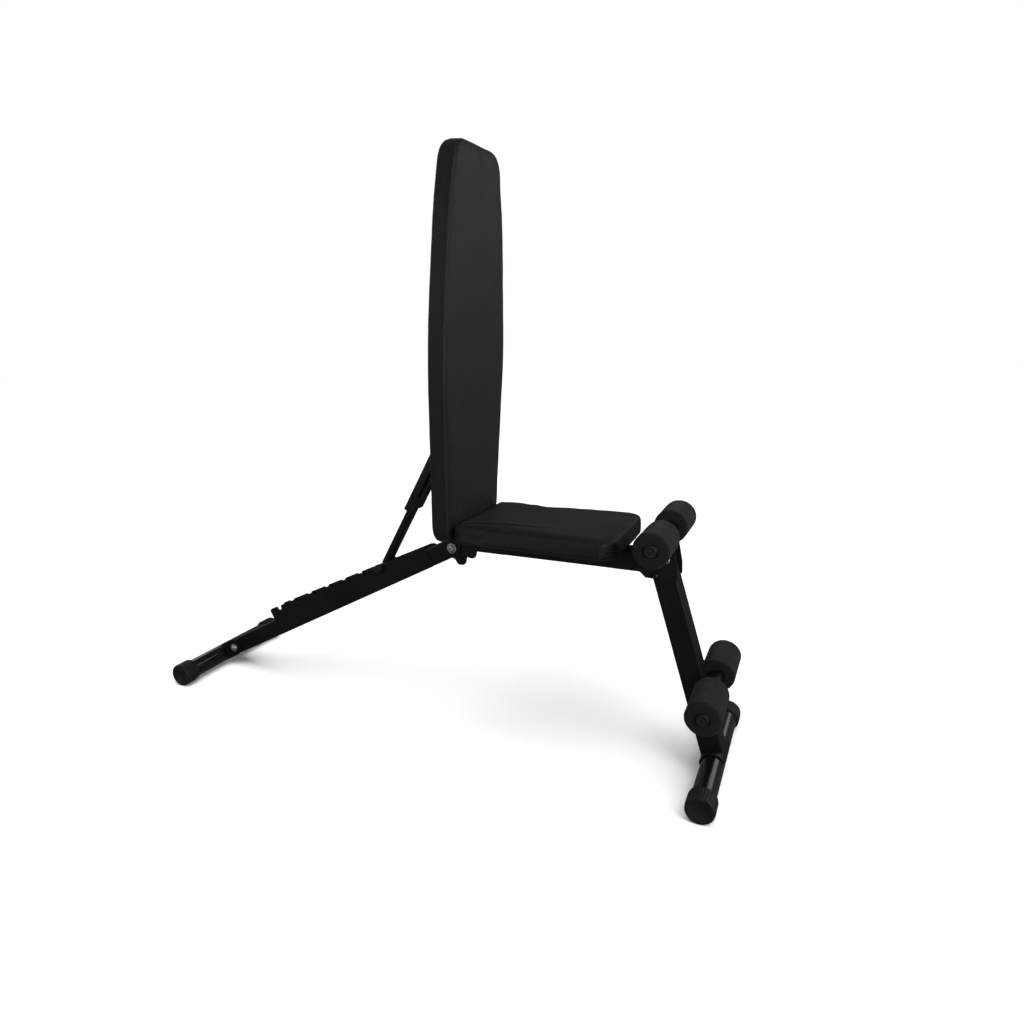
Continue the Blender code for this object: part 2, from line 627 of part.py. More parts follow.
def strut_pieces():
    """The strut hangs down its own -Z from the upper pivot to the cross pin."""
    foot = -STRUT_LENGTH
    tube = box_tube("strut_tube", foot + PIN_RADIUS + SLEEVE_WALL + GAP, 0.0083, STRUT_DEPTH, STRUT, 0.0,
                    STRUT_WIDTH, 0.0018, "Z")
    cut(tube, cross_cutter("strut_top_hole", 0, 0, M8 + RUNNING, 0.03, STRUT), "MANIFOLD")
    ring("strut_foot_sleeve", PIN_RADIUS + SLEEVE_WALL, PIN_RADIUS + GAP, -STRUT_WIDTH / 2, STRUT_WIDTH / 2,
         (0, 0, foot), STRUT, COATED)
    inner, outer = STRUT_WIDTH / 2 + GAP, LAYER_B + PLATE
    for side, word in SIDES:
        arm = [(LAYER_B, -FORK_LENGTH + 0.040), (LAYER_B, FORK_TOP), (outer, FORK_TOP), (outer, -FORK_LENGTH),
               (inner, -FORK_LENGTH), (inner, -FORK_LENGTH + 0.040)]
        fork = slab("strut_fork_" + word, [[(side * y, z) for y, z in arm]], STRUT_DEPTH)
        fork.rotation_euler = (pi / 2, 0, pi / 2)
        finish(fork, STRUT, COATED)
        cut(fork, cross_cutter("fork_hole_" + word, 0, 0, M8 + RUNNING, 0.006, STRUT, 16, side * LAYER_B))
    end = PIN_HALF - 0.002
    pin = [(0, end), (PIN_RADIUS, end), (PIN_RADIUS, -end), (0, -end)]
    turned("strut_pin", pin, (0, 0, foot), STRUT, ZINC)
    for side, word in SIDES:
        inner = LAYER_A + PLATE + 0.0012
        tip = PIN_HALF + 0.0015
        profile = [(0, tip), (0.0075, tip), (0.0098, tip - 0.0025), (0.0098, inner),
                   (PIN_RADIUS + GAP, inner), (PIN_RADIUS + GAP, end + GAP), (0, end + GAP)]
        cap = turned("strut_pin_cap_" + word, profile, (0, 0, foot), STRUT, PLASTIC, sides=16)
        cap.rotation_euler = (-side * pi / 2, 0, 0)


# ---------------------------------------------------------------- rear leg
def rear_beam():
    end = BEAM_LENGTH - FOOT_TUBE_RADIUS - 0.0065 - GAP
    nose = BEAM_HEIGHT / 2
    beam = box_tube("rear_beam", -end, nose, BEAM_HEIGHT, REAR_LEG)
    nose_waste = [(0, 0.03), (0, nose - GAP)]
    nose_waste += arc(0, 0, nose - GAP, pi / 2, -pi / 2, 12)[1:]
    nose_waste += [(0, -0.03), (0.04, -0.03), (0.04, 0.03)]
    waste = block_cutter("nose_cutter", [nose_waste], 0.06, (pi / 2, 0, 0), (0, 0, 0), REAR_LEG)
    cut(beam, waste, "MANIFOLD")
    cut(beam, cross_cutter("hinge_hole", 0, 0, M12 + BUSH_WALL + GAP, 0.04, REAR_LEG), "MANIFOLD")
    cut(beam, cross_cutter("rear_bolt_hole", -REAR_BOLT, 0, M8 + GAP, 0.04, REAR_LEG), "MANIFOLD")
    cut(beam, cross_cutter("stop_hole", *STOP_PLACE, STOP_BAR + GAP, 0.04, REAR_LEG, 12), "MANIFOLD")


def ladder_plates():
    """Notched plates on both sides of the beam; the strut's cross pin drops into a pair of notches."""
    bottom = -BEAM_HEIGHT / 2
    outline = rounded([(-LADDER_REAR, bottom, 0), (-LADDER_FRONT, bottom, 0.004),
                       (-LADDER_FRONT, ladder_top(LADDER_FRONT), 0.010)])[:-1]
    outline += [(-LADDER_FRONT - 0.014, ladder_top(LADDER_FRONT + 0.014))]
    radius = PIN_RADIUS + 0.0004
    for index in range(NOTCH_COUNT):
        along = notch_along(index)
        centre = ladder_top(along) - NOTCH_DEPTH + PIN_RADIUS
        half_mouth = radius / cos(NOTCH_FLARE) + (NOTCH_DEPTH - PIN_RADIUS) * tan(NOTCH_FLARE)
        for offset in (half_mouth + 0.0008, half_mouth - 0.0004):
            drop = 0.0 if offset > half_mouth else 0.0010
            outline.append((-along + offset, ladder_top(along - offset) - drop))
        outline += arc(-along, centre, radius, -NOTCH_FLARE, -pi + NOTCH_FLARE, 8)
        for offset in (half_mouth - 0.0004, half_mouth + 0.0008):
            drop = 0.0 if offset > half_mouth else 0.0010
            outline.append((-along - offset, ladder_top(along + offset) - drop))
    outline += [(-LADDER_REAR + 0.006, ladder_top(LADDER_REAR - 0.006)),
                (-LADDER_REAR, ladder_top(LADDER_REAR) - 0.004)]
    plate_pair("ladder_plate", [outline], LAYER_A, REAR_LEG)


def foot_bracket():
    """Channel welded to the rear foot tube: its web closes the beam and its cheeks hold the bolt."""
    outer = LAYER_A + PLATE
    beam_end = -BEAM_LENGTH + FOOT_TUBE_RADIUS + 0.0065
    front = -REAR_BOLT + BRACKET_RADIUS
    rear = -BEAM_LENGTH
    outline = [(front, -outer), (front, -LAYER_A), (beam_end, -LAYER_A), (beam_end, LAYER_A),
               (front, LAYER_A), (front, outer), (rear, outer), (rear, -outer)]
    channel = slab("rear_foot_bracket", [outline], 2 * BRACKET_RADIUS)
    finish(channel, REAR_LEG, COATED)
    corner = [(0, 0.04), (0, BRACKET_RADIUS)]
    corner += arc(0, 0, BRACKET_RADIUS, pi / 2, -pi / 2, 12)[1:]
    corner += [(0, -0.04), (0.05, -0.04), (0.05, 0.04)]
    waste = block_cutter("bracket_round", [corner], 0.08, (pi / 2, 0, 0), (-REAR_BOLT, 0, 0), REAR_LEG)
    cut(channel, waste)
    cut(channel, cross_cutter("bracket_hole", -REAR_BOLT, 0, M8 + GAP, 0.04, REAR_LEG, 16))
    cut(channel, cross_cutter("bracket_cope", -BEAM_LENGTH, 0, FOOT_TUBE_RADIUS + GAP, 0.04, REAR_LEG, 48))


def foot(name, half, position, parent):
    """Foot tube across the bench with a ribbed plastic cap on each end."""
    tube_half = half - CAP_END_WALL - GAP
    ring(name + "_tube", FOOT_TUBE_RADIUS, FOOT_TUBE_RADIUS - TUBE_WALL, -tube_half, tube_half, position,
         parent, COATED)
    bore = FOOT_TUBE_RADIUS + GAP
    for side, word in SIDES:
        open_end = half - CAP_LENGTH
        profile = [(0, half), (CAP_RADIUS - 0.003, half), (CAP_RADIUS, half - 0.003),
                   (CAP_RADIUS, open_end + 0.004), (CAP_RADIUS - 0.0022, open_end), (bore, open_end),
                   (bore, half - CAP_END_WALL), (0, half - CAP_END_WALL)]
        cap = turned(name + "_cap_" + word, profile, position, parent, PLASTIC)
        cap.rotation_euler = (-side * pi / 2, 0, 0)


def rear_foot():
    foot("rear_foot", REAR_FOOT_HALF, (-BEAM_LENGTH, 0, 0), REAR_LEG)
    foot_bracket()
    reach = BRACKET_FACE + 0.009
    bolt("rear_foot_bolt", -REAR_BOLT, 0, M8, reach, REAR_LEG, head=0.0105, seat=BRACKET_FACE)
    nut("rear_foot_nut", -REAR_BOLT, 0, M8 + GAP, REAR_LEG, ZINC, 0.0078, BRACKET_FACE, 0.0065)


# ---------------------------------------------------------------- front leg
def front_leg():
    """The leg hangs down its own -Z; its centre line is ahead of the pivot."""
    leg = box_tube("front_leg_tube", -LEG_FOOT, LEG_TOP, TUBE_WIDTH, FRONT_LEG, LEG_OFFSET, along="Z")
    cut(leg, cross_cutter("pivot_hole", 0, 0, M8 + RUNNING, 0.04, FRONT_LEG), "MANIFOLD")
    lock_hole = cross_cutter("lock_hole", LOCK_AHEAD, LOCK_ALONG, LOCK_TIP + RUNNING, 0.010, FRONT_LEG, 16,
                             HALF)
    cut(leg, lock_hole, "MANIFOLD")
    saddle_outer = FOOT_TUBE_RADIUS + 2 * GAP + PLATE
    cut(leg, cross_cutter("foot_cope", LEG_OFFSET, -LEG_FOOT, saddle_outer, 0.04, FRONT_LEG, 48), "MANIFOLD")
    cap = slab("front_leg_top_plug", [rectangle(0.0400, 0.0400, 0.002)], 0.012)
    cap.location = (LEG_OFFSET, 0, LEG_TOP - 0.0062)
    finish(cap, FRONT_LEG, PLASTIC)
    outline = arc(0, 0, FOOT_TUBE_RADIUS + GAP, radians(8), radians(172), 16)
    outline += arc(0, 0, FOOT_TUBE_RADIUS + GAP + PLATE, radians(172), radians(8), 16)
    saddle = slab("front_foot_saddle", [outline], 0.074)
    saddle.rotation_euler = (pi / 2, 0, 0)
    saddle.location = (LEG_OFFSET, 0, -LEG_FOOT)
    finish(saddle, FRONT_LEG, COATED)
    foot("front_foot", FRONT_FOOT_HALF, (LEG_OFFSET, 0, -LEG_FOOT), FRONT_LEG)


def build():
    seat_rail()
    hinge_brackets()
    leg_stop_bar()
    back_stop_studs()
    main_hinge()
    seat_plates()
    seat_cushion()
    front_brackets()
    front_pivot()
    lock_pin()
    top_position = (TOP_ROLLER_X, 0, TOP_ROLLER_Z - HINGE_Z)
    roller_tube("top_roller_tube", TOP_ROLLER_HALF, top_position, FRAME)
    foam_pair("top_foam", TOP_ROLLER_HALF, TOP_ROLLER)
    back_cushion()
    back_tube()
    back_hinges()
    strut_bracket()
    strut_bolt()
    strut_pieces()
    rear_beam()
    ladder_plates()
    rear_foot()
    front_leg()
    low_local = Vector((LOW_ROLLER_AHEAD, 0, -LOW_ROLLER_DOWN))
    roller_tube("low_roller_tube", LOW_ROLLER_HALF, low_local, FRONT_LEG)
    low_roller = FRONT_PIVOT + Matrix.Rotation(-LEG_ANGLE, 3, "Y") @ low_local
    foam_pair("low_foam", LOW_ROLLER_HALF, low_roller)


build()
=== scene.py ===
"""Looks of a folding adjustable weight bench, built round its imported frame.

The cushions are cloth-simulated covers over foam, the rollers are foam sleeves, and the rest of the frame
keeps its CAD shape with softened edges and procedural finishes.
"""
import json
from math import atan2, cos, pi, radians, sin, tan

import bmesh
import bpy
import numpy as np
from mathutils import Matrix, Vector, noise


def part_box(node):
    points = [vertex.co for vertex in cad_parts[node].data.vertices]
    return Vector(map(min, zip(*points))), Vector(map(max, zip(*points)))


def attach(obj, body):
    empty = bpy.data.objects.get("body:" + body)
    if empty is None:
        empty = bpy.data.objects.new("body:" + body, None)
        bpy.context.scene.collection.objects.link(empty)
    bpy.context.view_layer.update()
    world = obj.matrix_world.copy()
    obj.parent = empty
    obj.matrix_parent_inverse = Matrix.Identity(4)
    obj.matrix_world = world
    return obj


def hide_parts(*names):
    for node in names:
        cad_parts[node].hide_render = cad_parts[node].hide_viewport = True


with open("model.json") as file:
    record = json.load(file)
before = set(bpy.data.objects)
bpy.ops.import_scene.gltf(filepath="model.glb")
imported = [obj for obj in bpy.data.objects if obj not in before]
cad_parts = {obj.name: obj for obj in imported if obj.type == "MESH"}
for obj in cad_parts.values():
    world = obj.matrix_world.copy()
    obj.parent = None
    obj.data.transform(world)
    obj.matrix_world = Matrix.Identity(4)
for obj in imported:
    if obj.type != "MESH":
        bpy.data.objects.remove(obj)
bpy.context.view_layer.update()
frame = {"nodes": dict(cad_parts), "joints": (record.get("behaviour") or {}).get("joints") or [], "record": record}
RECORD = frame["record"]
JOINTS = {joint["name"]: joint for joint in frame["joints"]}
MOUNTS = {mount["name"]: mount for mount in RECORD["mounts"]}
BODY_OF = {node: body for body, nodes in RECORD["behaviour"]["bodies"].items() for node in nodes}

# ---------------------------------------------------------------- sizes taken from the frame
HINGE = Vector(JOINTS["backrest_recline"]["pos_m"])
BACK_NORMAL = Vector(MOUNTS["back_face"]["axis"]).normalized()
BACK_TILT = atan2(-BACK_NORMAL.z, BACK_NORMAL.x)
BACK_AXES = Matrix.Translation(HINGE) @ Matrix.Rotation(BACK_TILT, 4, "Y")
REAR_FOOT = sum(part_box("rear_foot_tube"), Vector()) / 2
FRONT_FOOT = sum(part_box("front_foot_tube"), Vector()) / 2

# ---------------------------------------------------------------- sizes of the pieces made here
BACK_FRONT, BACK_THICKNESS = 0.042, 0.0415       # pad, square to the backrest from the hinge
BACK_BOTTOM, BACK_TOP = 0.030, 0.803             # cover, along the backrest from the hinge
BACK_LOW_RADIUS = 0.040                          # corners at the foot of the back cover
BACK_TOP_HALF, BACK_TOP_RADIUS = 0.093, 0.046    # its half width at the top, and the corners there
BACK_PLEATS = 0.076                              # where the pleats of the low corners meet, from the middle
SEAT_REAR, SEAT_FRONT = 0.0478, 0.384            # pad, ahead of the hinge
SEAT_TOP, SEAT_THICKNESS, SEAT_HALF_WIDTH = 0.484, 0.0405, 0.122
SEAT_TAPER = 0.005                               # the seat is this much narrower on each side at its rear
SEAT_REAR_RADIUS, SEAT_FRONT_RADIUS = 0.016, 0.034
SEAT_PULL, BACK_PULL = 0.2, 0.41                 # a place along each pad where its cover is drawn in
STAPLE_INSET, STAPLE_LIFT = 0.019, 0.0010
STAPLE_SIZE = (0.010, 0.0012, 0.0008)
PULL_PITCH = 0.045                               # from there to the next such place
MARGIN, MARGIN_PROUD = 0.0270, 0.0008            # the cover's margin on the back of a board
BARE_BOARD = 0.0030                              # the board's own face, in from the margin
TUBE_STRIP = 0.036                               # the tube presses the margin flat this far from the middle
SHRINK = 0.0022                                  # the cover is cut smaller by this, and its filling swells it
VOXEL = 0.005
HELD_BELOW = 0.002                               # the cloth is fixed to its board below this height
PRESSURE, FIRST_FRAME, LAST_FRAME = 4.0, 1, 20
TOW, TOW_ROUNDNESS = 0.0019, 3.4                 # width and roundness of a strand in the embossed twill
PLEAT_DEPTH, PLEAT_WIDTH = 0.0008, 0.0022
CAP_RIBS, CAP_RIB_DEPTH = 32, 0.0011
WELD_SIDES, WELD_STEP, WELD_RIPPLE = 10, 0.0006, 0.0026
EDGE_SOFTNESS = 0.0005
MERGE = 0.00001

CAMERA_PLACE = (0.7894, -1.3302, 0.8611)
CAMERA_YAW, CAMERA_PITCH, CAMERA_ROLL = radians(-24.882), radians(-13.564), radians(-1.029)
CAMERA_LENS, CAMERA_SHIFT = 25.185, (0.01376, -0.0093)
LAMP_AIM = Vector((0.0, 0.0, 0.45))
LAMPS = (("key", (2.6, -1.0, 1.3), 1.4, 25),     # name, place, width, power
         ("fill", (-1.2, -2.6, 1.3), 1.8, 10),
         ("far", (1.9, 2.2, 1.7), 1.6, 7),
         ("rear", (-2.6, 0.8, 1.5), 1.8, 10),
         ("top", (0.3, -0.2, 2.8), 1.6, 1))


# ---------------------------------------------------------------- material building
def new_material(name, colour, roughness, metallic=0.0, specular=0.5):
    """A Principled material, and the tree it is built in."""
    material = bpy.data.materials.new(name)
    material.use_nodes = True
    shader = material.node_tree.nodes["Principled BSDF"]
    shader.inputs["Base Color"].default_value = (*colour, 1)
    shader.inputs["Roughness"].default_value = roughness
    shader.inputs["Metallic"].default_value = metallic
    shader.inputs["Specular IOR Level"].default_value = specular
    return material, material.node_tree, shader


def add(tree, kind, inputs=None, **settings):
    """A node with its settings, and inputs that are numbers or other nodes' sockets."""
    made = tree.nodes.new("ShaderNode" + kind)
    for key, value in settings.items():
        setattr(made, key, value)
    for key, value in (inputs or {}).items():
        if isinstance(value, bpy.types.NodeSocket):
            tree.links.new(value, made.inputs[key])
        else:
            made.inputs[key].default_value = value
    return made


def math(tree, operation, first, second=0.0):
    return add(tree, "Math", {0: first, 1: second}, operation=operation).outputs[0]


def object_noise(tree, scale, detail=3.0, roughness=0.5):
    """Noise over the object's own coordinates, with a feature size of about 1 / scale metres."""
    place = add(tree, "TexCoord").outputs["Object"]
    inputs = {"Vector": place, "Scale": scale, "Detail": detail, "Roughness": roughness}
    return add(tree, "TexNoise", inputs).outputs["Fac"]


def spread(tree, value, low, high, start=0.3, end=0.7):
    inputs = {"Value": value, "From Min": start, "From Max": end, "To Min": low, "To Max": high}
    return add(tree, "MapRange", inputs).outputs["Result"]


def blend_colours(tree, amount, first, second):
    made = add(tree, "Mix", {0: amount}, data_type="RGBA")
    for socket, value in ((6, first), (7, second)):
        if isinstance(value, bpy.types.NodeSocket):
            tree.links.new(value, made.inputs[socket])
        else:
            made.inputs[socket].default_value = (*value, 1)
    return made.outputs[2]


def bump(tree, height, strength, distance, below=None):
    inputs = {"Height": height, "Strength": strength, "Distance": distance}
    if below is not None:
        inputs["Normal"] = below
    return add(tree, "Bump", inputs).outputs["Normal"]


def twill_height(tree):
    """Height of a 2/2 twill embossing over the weave attribute, and where the warp runs over the weft."""
    weave = add(tree, "Attribute", attribute_name="weave", attribute_type="GEOMETRY").outputs["Vector"]
    parts = add(tree, "SeparateXYZ", {0: weave})
    across = math(tree, "DIVIDE", parts.outputs[0], TOW)
    along = math(tree, "DIVIDE", parts.outputs[1], TOW)
    cell = math(tree, "SUBTRACT", math(tree, "FLOOR", across), math(tree, "FLOOR", along))
    over = math(tree, "LESS_THAN", math(tree, "FLOORED_MODULO", cell, 4.0), 1.5)
    heights = []
    for place in (across, along):
        middle = math(tree, "SUBTRACT", math(tree, "FRACT", place), 0.5)
        fall = math(tree, "MULTIPLY", math(tree, "POWER", middle, 2.0), TOW_ROUNDNESS)
        heights.append(math(tree, "SUBTRACT", 1.0, fall))
    warp = math(tree, "MULTIPLY", heights[0], over)
    weft = math(tree, "MULTIPLY", heights[1], math(tree, "SUBTRACT", 1.0, over))
    return math(tree, "ADD", warp, weft), over


def leatherette():
    """Black vinyl with a twill embossed in it, a fine grain and a soft, uneven sheen."""
    material, tree, shader = new_material("leatherette", (0.014, 0.0148, 0.0175), 0.45, specular=0.42)
    height, over = twill_height(tree)
    broad = object_noise(tree, 9.0, 2.0)
    tone = blend_colours(tree, over, (0.0062, 0.0069, 0.0086), (0.0238, 0.0258, 0.0305))
    worn = blend_colours(tree, spread(tree, broad, 0.0, 0.35), tone, (0.020, 0.021, 0.024))
    tree.links.new(worn, shader.inputs["Base Color"])
    gloss = math(tree, "ADD", spread(tree, broad, 0.33, 0.42), math(tree, "MULTIPLY", over, 0.08))
    tree.links.new(gloss, shader.inputs["Roughness"])
    grain = bump(tree, object_noise(tree, 900.0, 2.0), 0.10, 0.0004)
    tree.links.new(bump(tree, height, 0.70, 0.0004, grain), shader.inputs["Normal"])
    shader.inputs["Sheen Weight"].default_value = 0.06
    return material


def foam_rubber():
    """Matt closed-cell foam: small pores, and a faintly mottled skin."""
    material, tree, shader = new_material("foam_rubber", (0.016, 0.0163, 0.0175), 0.93, specular=0.30)
    pores = add(tree, "TexVoronoi", {"Vector": add(tree, "TexCoord").outputs["Object"], "Scale": 850.0})
    mottle = object_noise(tree, 60.0, 4.0, 0.65)
    tone = blend_colours(tree, spread(tree, mottle, 0.0, 1.0), (0.0185, 0.0188, 0.0205),
                         (0.0300, 0.0303, 0.0325))
    tree.links.new(tone, shader.inputs["Base Color"])
    tree.links.new(spread(tree, mottle, 0.88, 0.98), shader.inputs["Roughness"])
    coarse = bump(tree, mottle, 0.30, 0.0010)
    tree.links.new(bump(tree, pores.outputs["Distance"], 0.35, 0.0006, coarse), shader.inputs["Normal"])
    shader.inputs["Sheen Weight"].default_value = 0.12
    return material


def coated_steel(name, colour, gloss, peel=0.16, coat=0.0):
    """Powder coat: orange peel, rubbed patches and fine dust."""
    material, tree, shader = new_material(name, colour, gloss, specular=0.45)
    broad = object_noise(tree, 22.0, 4.0, 0.6)
    rubbed = tuple(channel * 1.9 for channel in colour)
    tone = blend_colours(tree, spread(tree, broad, 0.0, 0.6, 0.45, 0.75), colour, rubbed)
    tree.links.new(tone, shader.inputs["Base Color"])
    tree.links.new(spread(tree, broad, gloss - 0.05, gloss + 0.07), shader.inputs["Roughness"])
    fine = object_noise(tree, 620.0, 2.0)
    tree.links.new(bump(tree, fine, peel, 0.0005), shader.inputs["Normal"])
    shader.inputs["Coat Weight"].default_value = coat
    shader.inputs["Coat Roughness"].default_value = 0.12
    return material


def worn_edge():
    """Edges of coated pieces: coating rubbed thin, with a few small chips down to the steel."""
    material, tree, shader = new_material("worn_edge", (0.03, 0.03, 0.03), 0.38, specular=0.5)
    chips = object_noise(tree, 240.0, 3.0, 0.7)
    chipped = spread(tree, chips, 0.0, 1.0, 0.66, 0.70)
    tone = blend_colours(tree, chipped, (0.026, 0.026, 0.027), (0.16, 0.16, 0.155))
    tree.links.new(tone, shader.inputs["Base Color"])
    tree.links.new(math(tree, "MULTIPLY", chipped, 0.7), shader.inputs["Metallic"])
    tree.links.new(spread(tree, chips, 0.32, 0.50), shader.inputs["Roughness"])
    return material


def zinc_plate():
    """Bright zinc plating with a faint spangle and turned marks."""
    material, tree, shader = new_material("zinc_plate", (0.80, 0.80, 0.78), 0.40, metallic=1.0)
    spangle = object_noise(tree, 260.0, 4.0, 0.7)
    tone = blend_colours(tree, spread(tree, spangle, 0.0, 1.0), (0.62, 0.62, 0.60), (0.97, 0.97, 0.95))
    tree.links.new(tone, shader.inputs["Base Color"])
    tree.links.new(spread(tree, spangle, 0.34, 0.52), shader.inputs["Roughness"])
    tree.links.new(bump(tree, spangle, 0.12, 0.0003), shader.inputs["Normal"])
    return material


def moulded_plastic():
    """Black moulded plastic with a spark-eroded texture and scuffs."""
    material, tree, shader = new_material("moulded_plastic", (0.014, 0.014, 0.015), 0.50, specular=0.42)
    scuffs = object_noise(tree, 75.0, 5.0, 0.7)
    scuffed = spread(tree, scuffs, 0.0, 0.9, 0.52, 0.75)
    tone = blend_colours(tree, scuffed, (0.024, 0.0243, 0.0255), (0.055, 0.055, 0.057))
    tree.links.new(tone, shader.inputs["Base Color"])
    tree.links.new(spread(tree, scuffs, 0.42, 0.60), shader.inputs["Roughness"])
    tree.links.new(bump(tree, object_noise(tree, 1100.0, 2.0), 0.22, 0.0003), shader.inputs["Normal"])
    return material


def stained_board():
    """Plywood stained black, with its grain showing through."""
    material, tree, shader = new_material("stained_board", (0.030, 0.026, 0.022), 0.75, specular=0.3)
    stretched = {"Vector": add(tree, "TexCoord").outputs["Object"], "Scale": (9.0, 160.0, 9.0)}
    place = add(tree, "Mapping", stretched)
    grain = add(tree, "TexNoise", {"Vector": place.outputs[0], "Scale": 3.0, "Detail": 6.0}).outputs["Fac"]
    tone = blend_colours(tree, spread(tree, grain, 0.0, 1.0), (0.018, 0.015, 0.013), (0.060, 0.048, 0.038))
    tree.links.new(tone, shader.inputs["Base Color"])
    tree.links.new(spread(tree, grain, 0.65, 0.85), shader.inputs["Roughness"])
    tree.links.new(bump(tree, grain, 0.25, 0.0006), shader.inputs["Normal"])
    return material


VINYL = leatherette()
FOAM = foam_rubber()
COAT = coated_steel("powder_coat", (0.0085, 0.0088, 0.0090), 0.40)
GLOSS = coated_steel("gloss_coat", (0.0060, 0.0080, 0.0088), 0.20, peel=0.05, coat=0.8)
EDGE = worn_edge()
ZINC = zinc_plate()
PLASTIC = moulded_plastic()
BOARD = stained_board()
FINISH = {"coated_steel": COAT, "zinc": ZINC, "black_plastic": PLASTIC, "plywood": BOARD}


# ---------------------------------------------------------------- mesh helpers
def new_piece(name, mesh, material, body, smooth_angle=None):
    """A finished piece in the row frame that rides on a body."""
    obj = bpy.data.objects.new(name, mesh)
    bpy.context.scene.collection.objects.link(obj)
    mesh.materials.clear()
    mesh.materials.append(material)
    mesh.shade_smooth()
    if smooth_angle is not None:
        mesh.set_sharp_from_angle(angle=smooth_angle)
    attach(obj, body)
    return obj


def evaluated_mesh(obj):
    graph = bpy.context.evaluated_depsgraph_get()
    return bpy.data.meshes.new_from_object(obj.evaluated_get(graph), depsgraph=graph)


def coordinates(mesh):
    flat = np.empty(len(mesh.vertices) * 3)
    mesh.vertices.foreach_get("co", flat)
    return flat.reshape(-1, 3)


def normals(mesh):
    flat = np.empty(len(mesh.vertices) * 3)
    mesh.vertices.foreach_get("normal", flat)
    return flat.reshape(-1, 3)


def set_coordinates(mesh, points):
    mesh.vertices.foreach_set("co", points.ravel())
    mesh.update()


def lathe(name, profile, centre, side=1, sides=64, shape=None):
    """Closed solid of revolution about Y from (radius, y) points; shape(radius, y, angle) bends it."""
    bm = bmesh.new()
    rings = []
    for radius, y in profile:
        if radius == 0:
            rings.append([bm.verts.new((0, side * y, 0))])
            continue
        turn = []
        for i in range(sides):
            angle = 2 * pi * i / sides
            wide = shape(radius, y, angle) if shape else radius
            turn.append(bm.verts.new((wide * cos(angle), side * y, wide * sin(angle))))
        rings.append(turn)
    closed = profile[0][0] != 0 and profile[-1][0] != 0
    pairs = list(zip(rings, rings[1:])) + ([(rings[-1], rings[0])] if closed else [])
    for first, second in pairs:
        for i in range(sides):
            j = (i + 1) % sides
            corners = (first[i % len(first)], first[j % len(first)],
                       second[j % len(second)], second[i % len(second)])
            bm.faces.new(list(dict.fromkeys(corners)))
    bmesh.ops.recalc_face_normals(bm, faces=bm.faces)
    mesh = bpy.data.meshes.new(name)
    bm.to_mesh(mesh)
    bm.free()
    mesh.transform(Matrix.Translation(centre))
    return mesh


def rounded(corners, steps=8):
    """A closed outline from (x, y, radius) corners, each rounded by an arc."""
    points = []
    for i, (x, y, radius) in enumerate(corners):
        here = Vector((x, y))
        back = (Vector(corners[i - 1][:2]) - here).normalized()
        ahead = (Vector(corners[(i + 1) % len(corners)][:2]) - here).normalized()
        half_angle = back.angle(ahead) / 2
        centre = here + (back + ahead).normalized() * radius / sin(half_angle)
        first = here + back * radius / tan(half_angle) - centre
        last = here + ahead * radius / tan(half_angle) - centre
        start = atan2(first.y, first.x)
        sweep = (atan2(last.y, last.x) - start + pi) % (2 * pi) - pi
        for step in range(steps + 1):
            angle = start + sweep * step / steps
            points.append((centre.x + radius * cos(angle), centre.y + radius * sin(angle)))
    return points


def bezier(points, steps=28):
    """Points on one cubic curve."""
    t = np.linspace(0, 1, steps)[:, None]
    a, b, c, d = (np.array(point, float) for point in points)
    return a * (1 - t) ** 3 + 3 * b * t * (1 - t) ** 2 + 3 * c * t * t * (1 - t) + d * t ** 3


# ---------------------------------------------------------------- frame pieces that keep their CAD shape
def dress(name, material):
    """Soften a CAD node's edges with modifiers, and give it a finish and worn edges."""
    obj = frame["nodes"][name]
    worn = material is COAT
    obj.data.materials.clear()
    obj.data.materials.append(material)
    if worn:
        obj.data.materials.append(EDGE)
    obj.data.shade_smooth()
    weld = obj.modifiers.new("weld", "WELD")
    weld.merge_threshold = MERGE
    flat = obj.modifiers.new("flat_faces", "DECIMATE")
    flat.decimate_type = "DISSOLVE"
    flat.angle_limit = radians(1)
    soft = obj.modifiers.new("soft_edges", "BEVEL")
    soft.width = EDGE_SOFTNESS
    soft.segments = 2
    soft.limit_method = "ANGLE"
    soft.angle_limit = radians(40)
    soft.use_clamp_overlap = True
    soft.material = 1 if worn else -1
    shading = obj.modifiers.new("shading", "WEIGHTED_NORMAL")
    shading.keep_sharp = False


# ---------------------------------------------------------------- upholstery
def seat_outline(inset):
    rear, front, half = SEAT_REAR + inset, SEAT_FRONT - inset, SEAT_HALF_WIDTH - inset
    return rounded([(rear, -half + SEAT_TAPER, SEAT_REAR_RADIUS), (front, -half, SEAT_FRONT_RADIUS),
                    (front, half, SEAT_FRONT_RADIUS), (rear, half - SEAT_TAPER, SEAT_REAR_RADIUS)])


def back_outline(inset):
    side = [(0.118, BACK_BOTTOM + inset, BACK_LOW_RADIUS), (0.1405, 0.43, 1.4), (0.1165, 0.690, 0.7),
            (BACK_TOP_HALF, BACK_TOP - inset, BACK_TOP_RADIUS)]
    right = [(x - inset, y, radius) for x, y, radius in side]
    return rounded(right + [(-x, y, radius) for x, y, radius in reversed(right)])


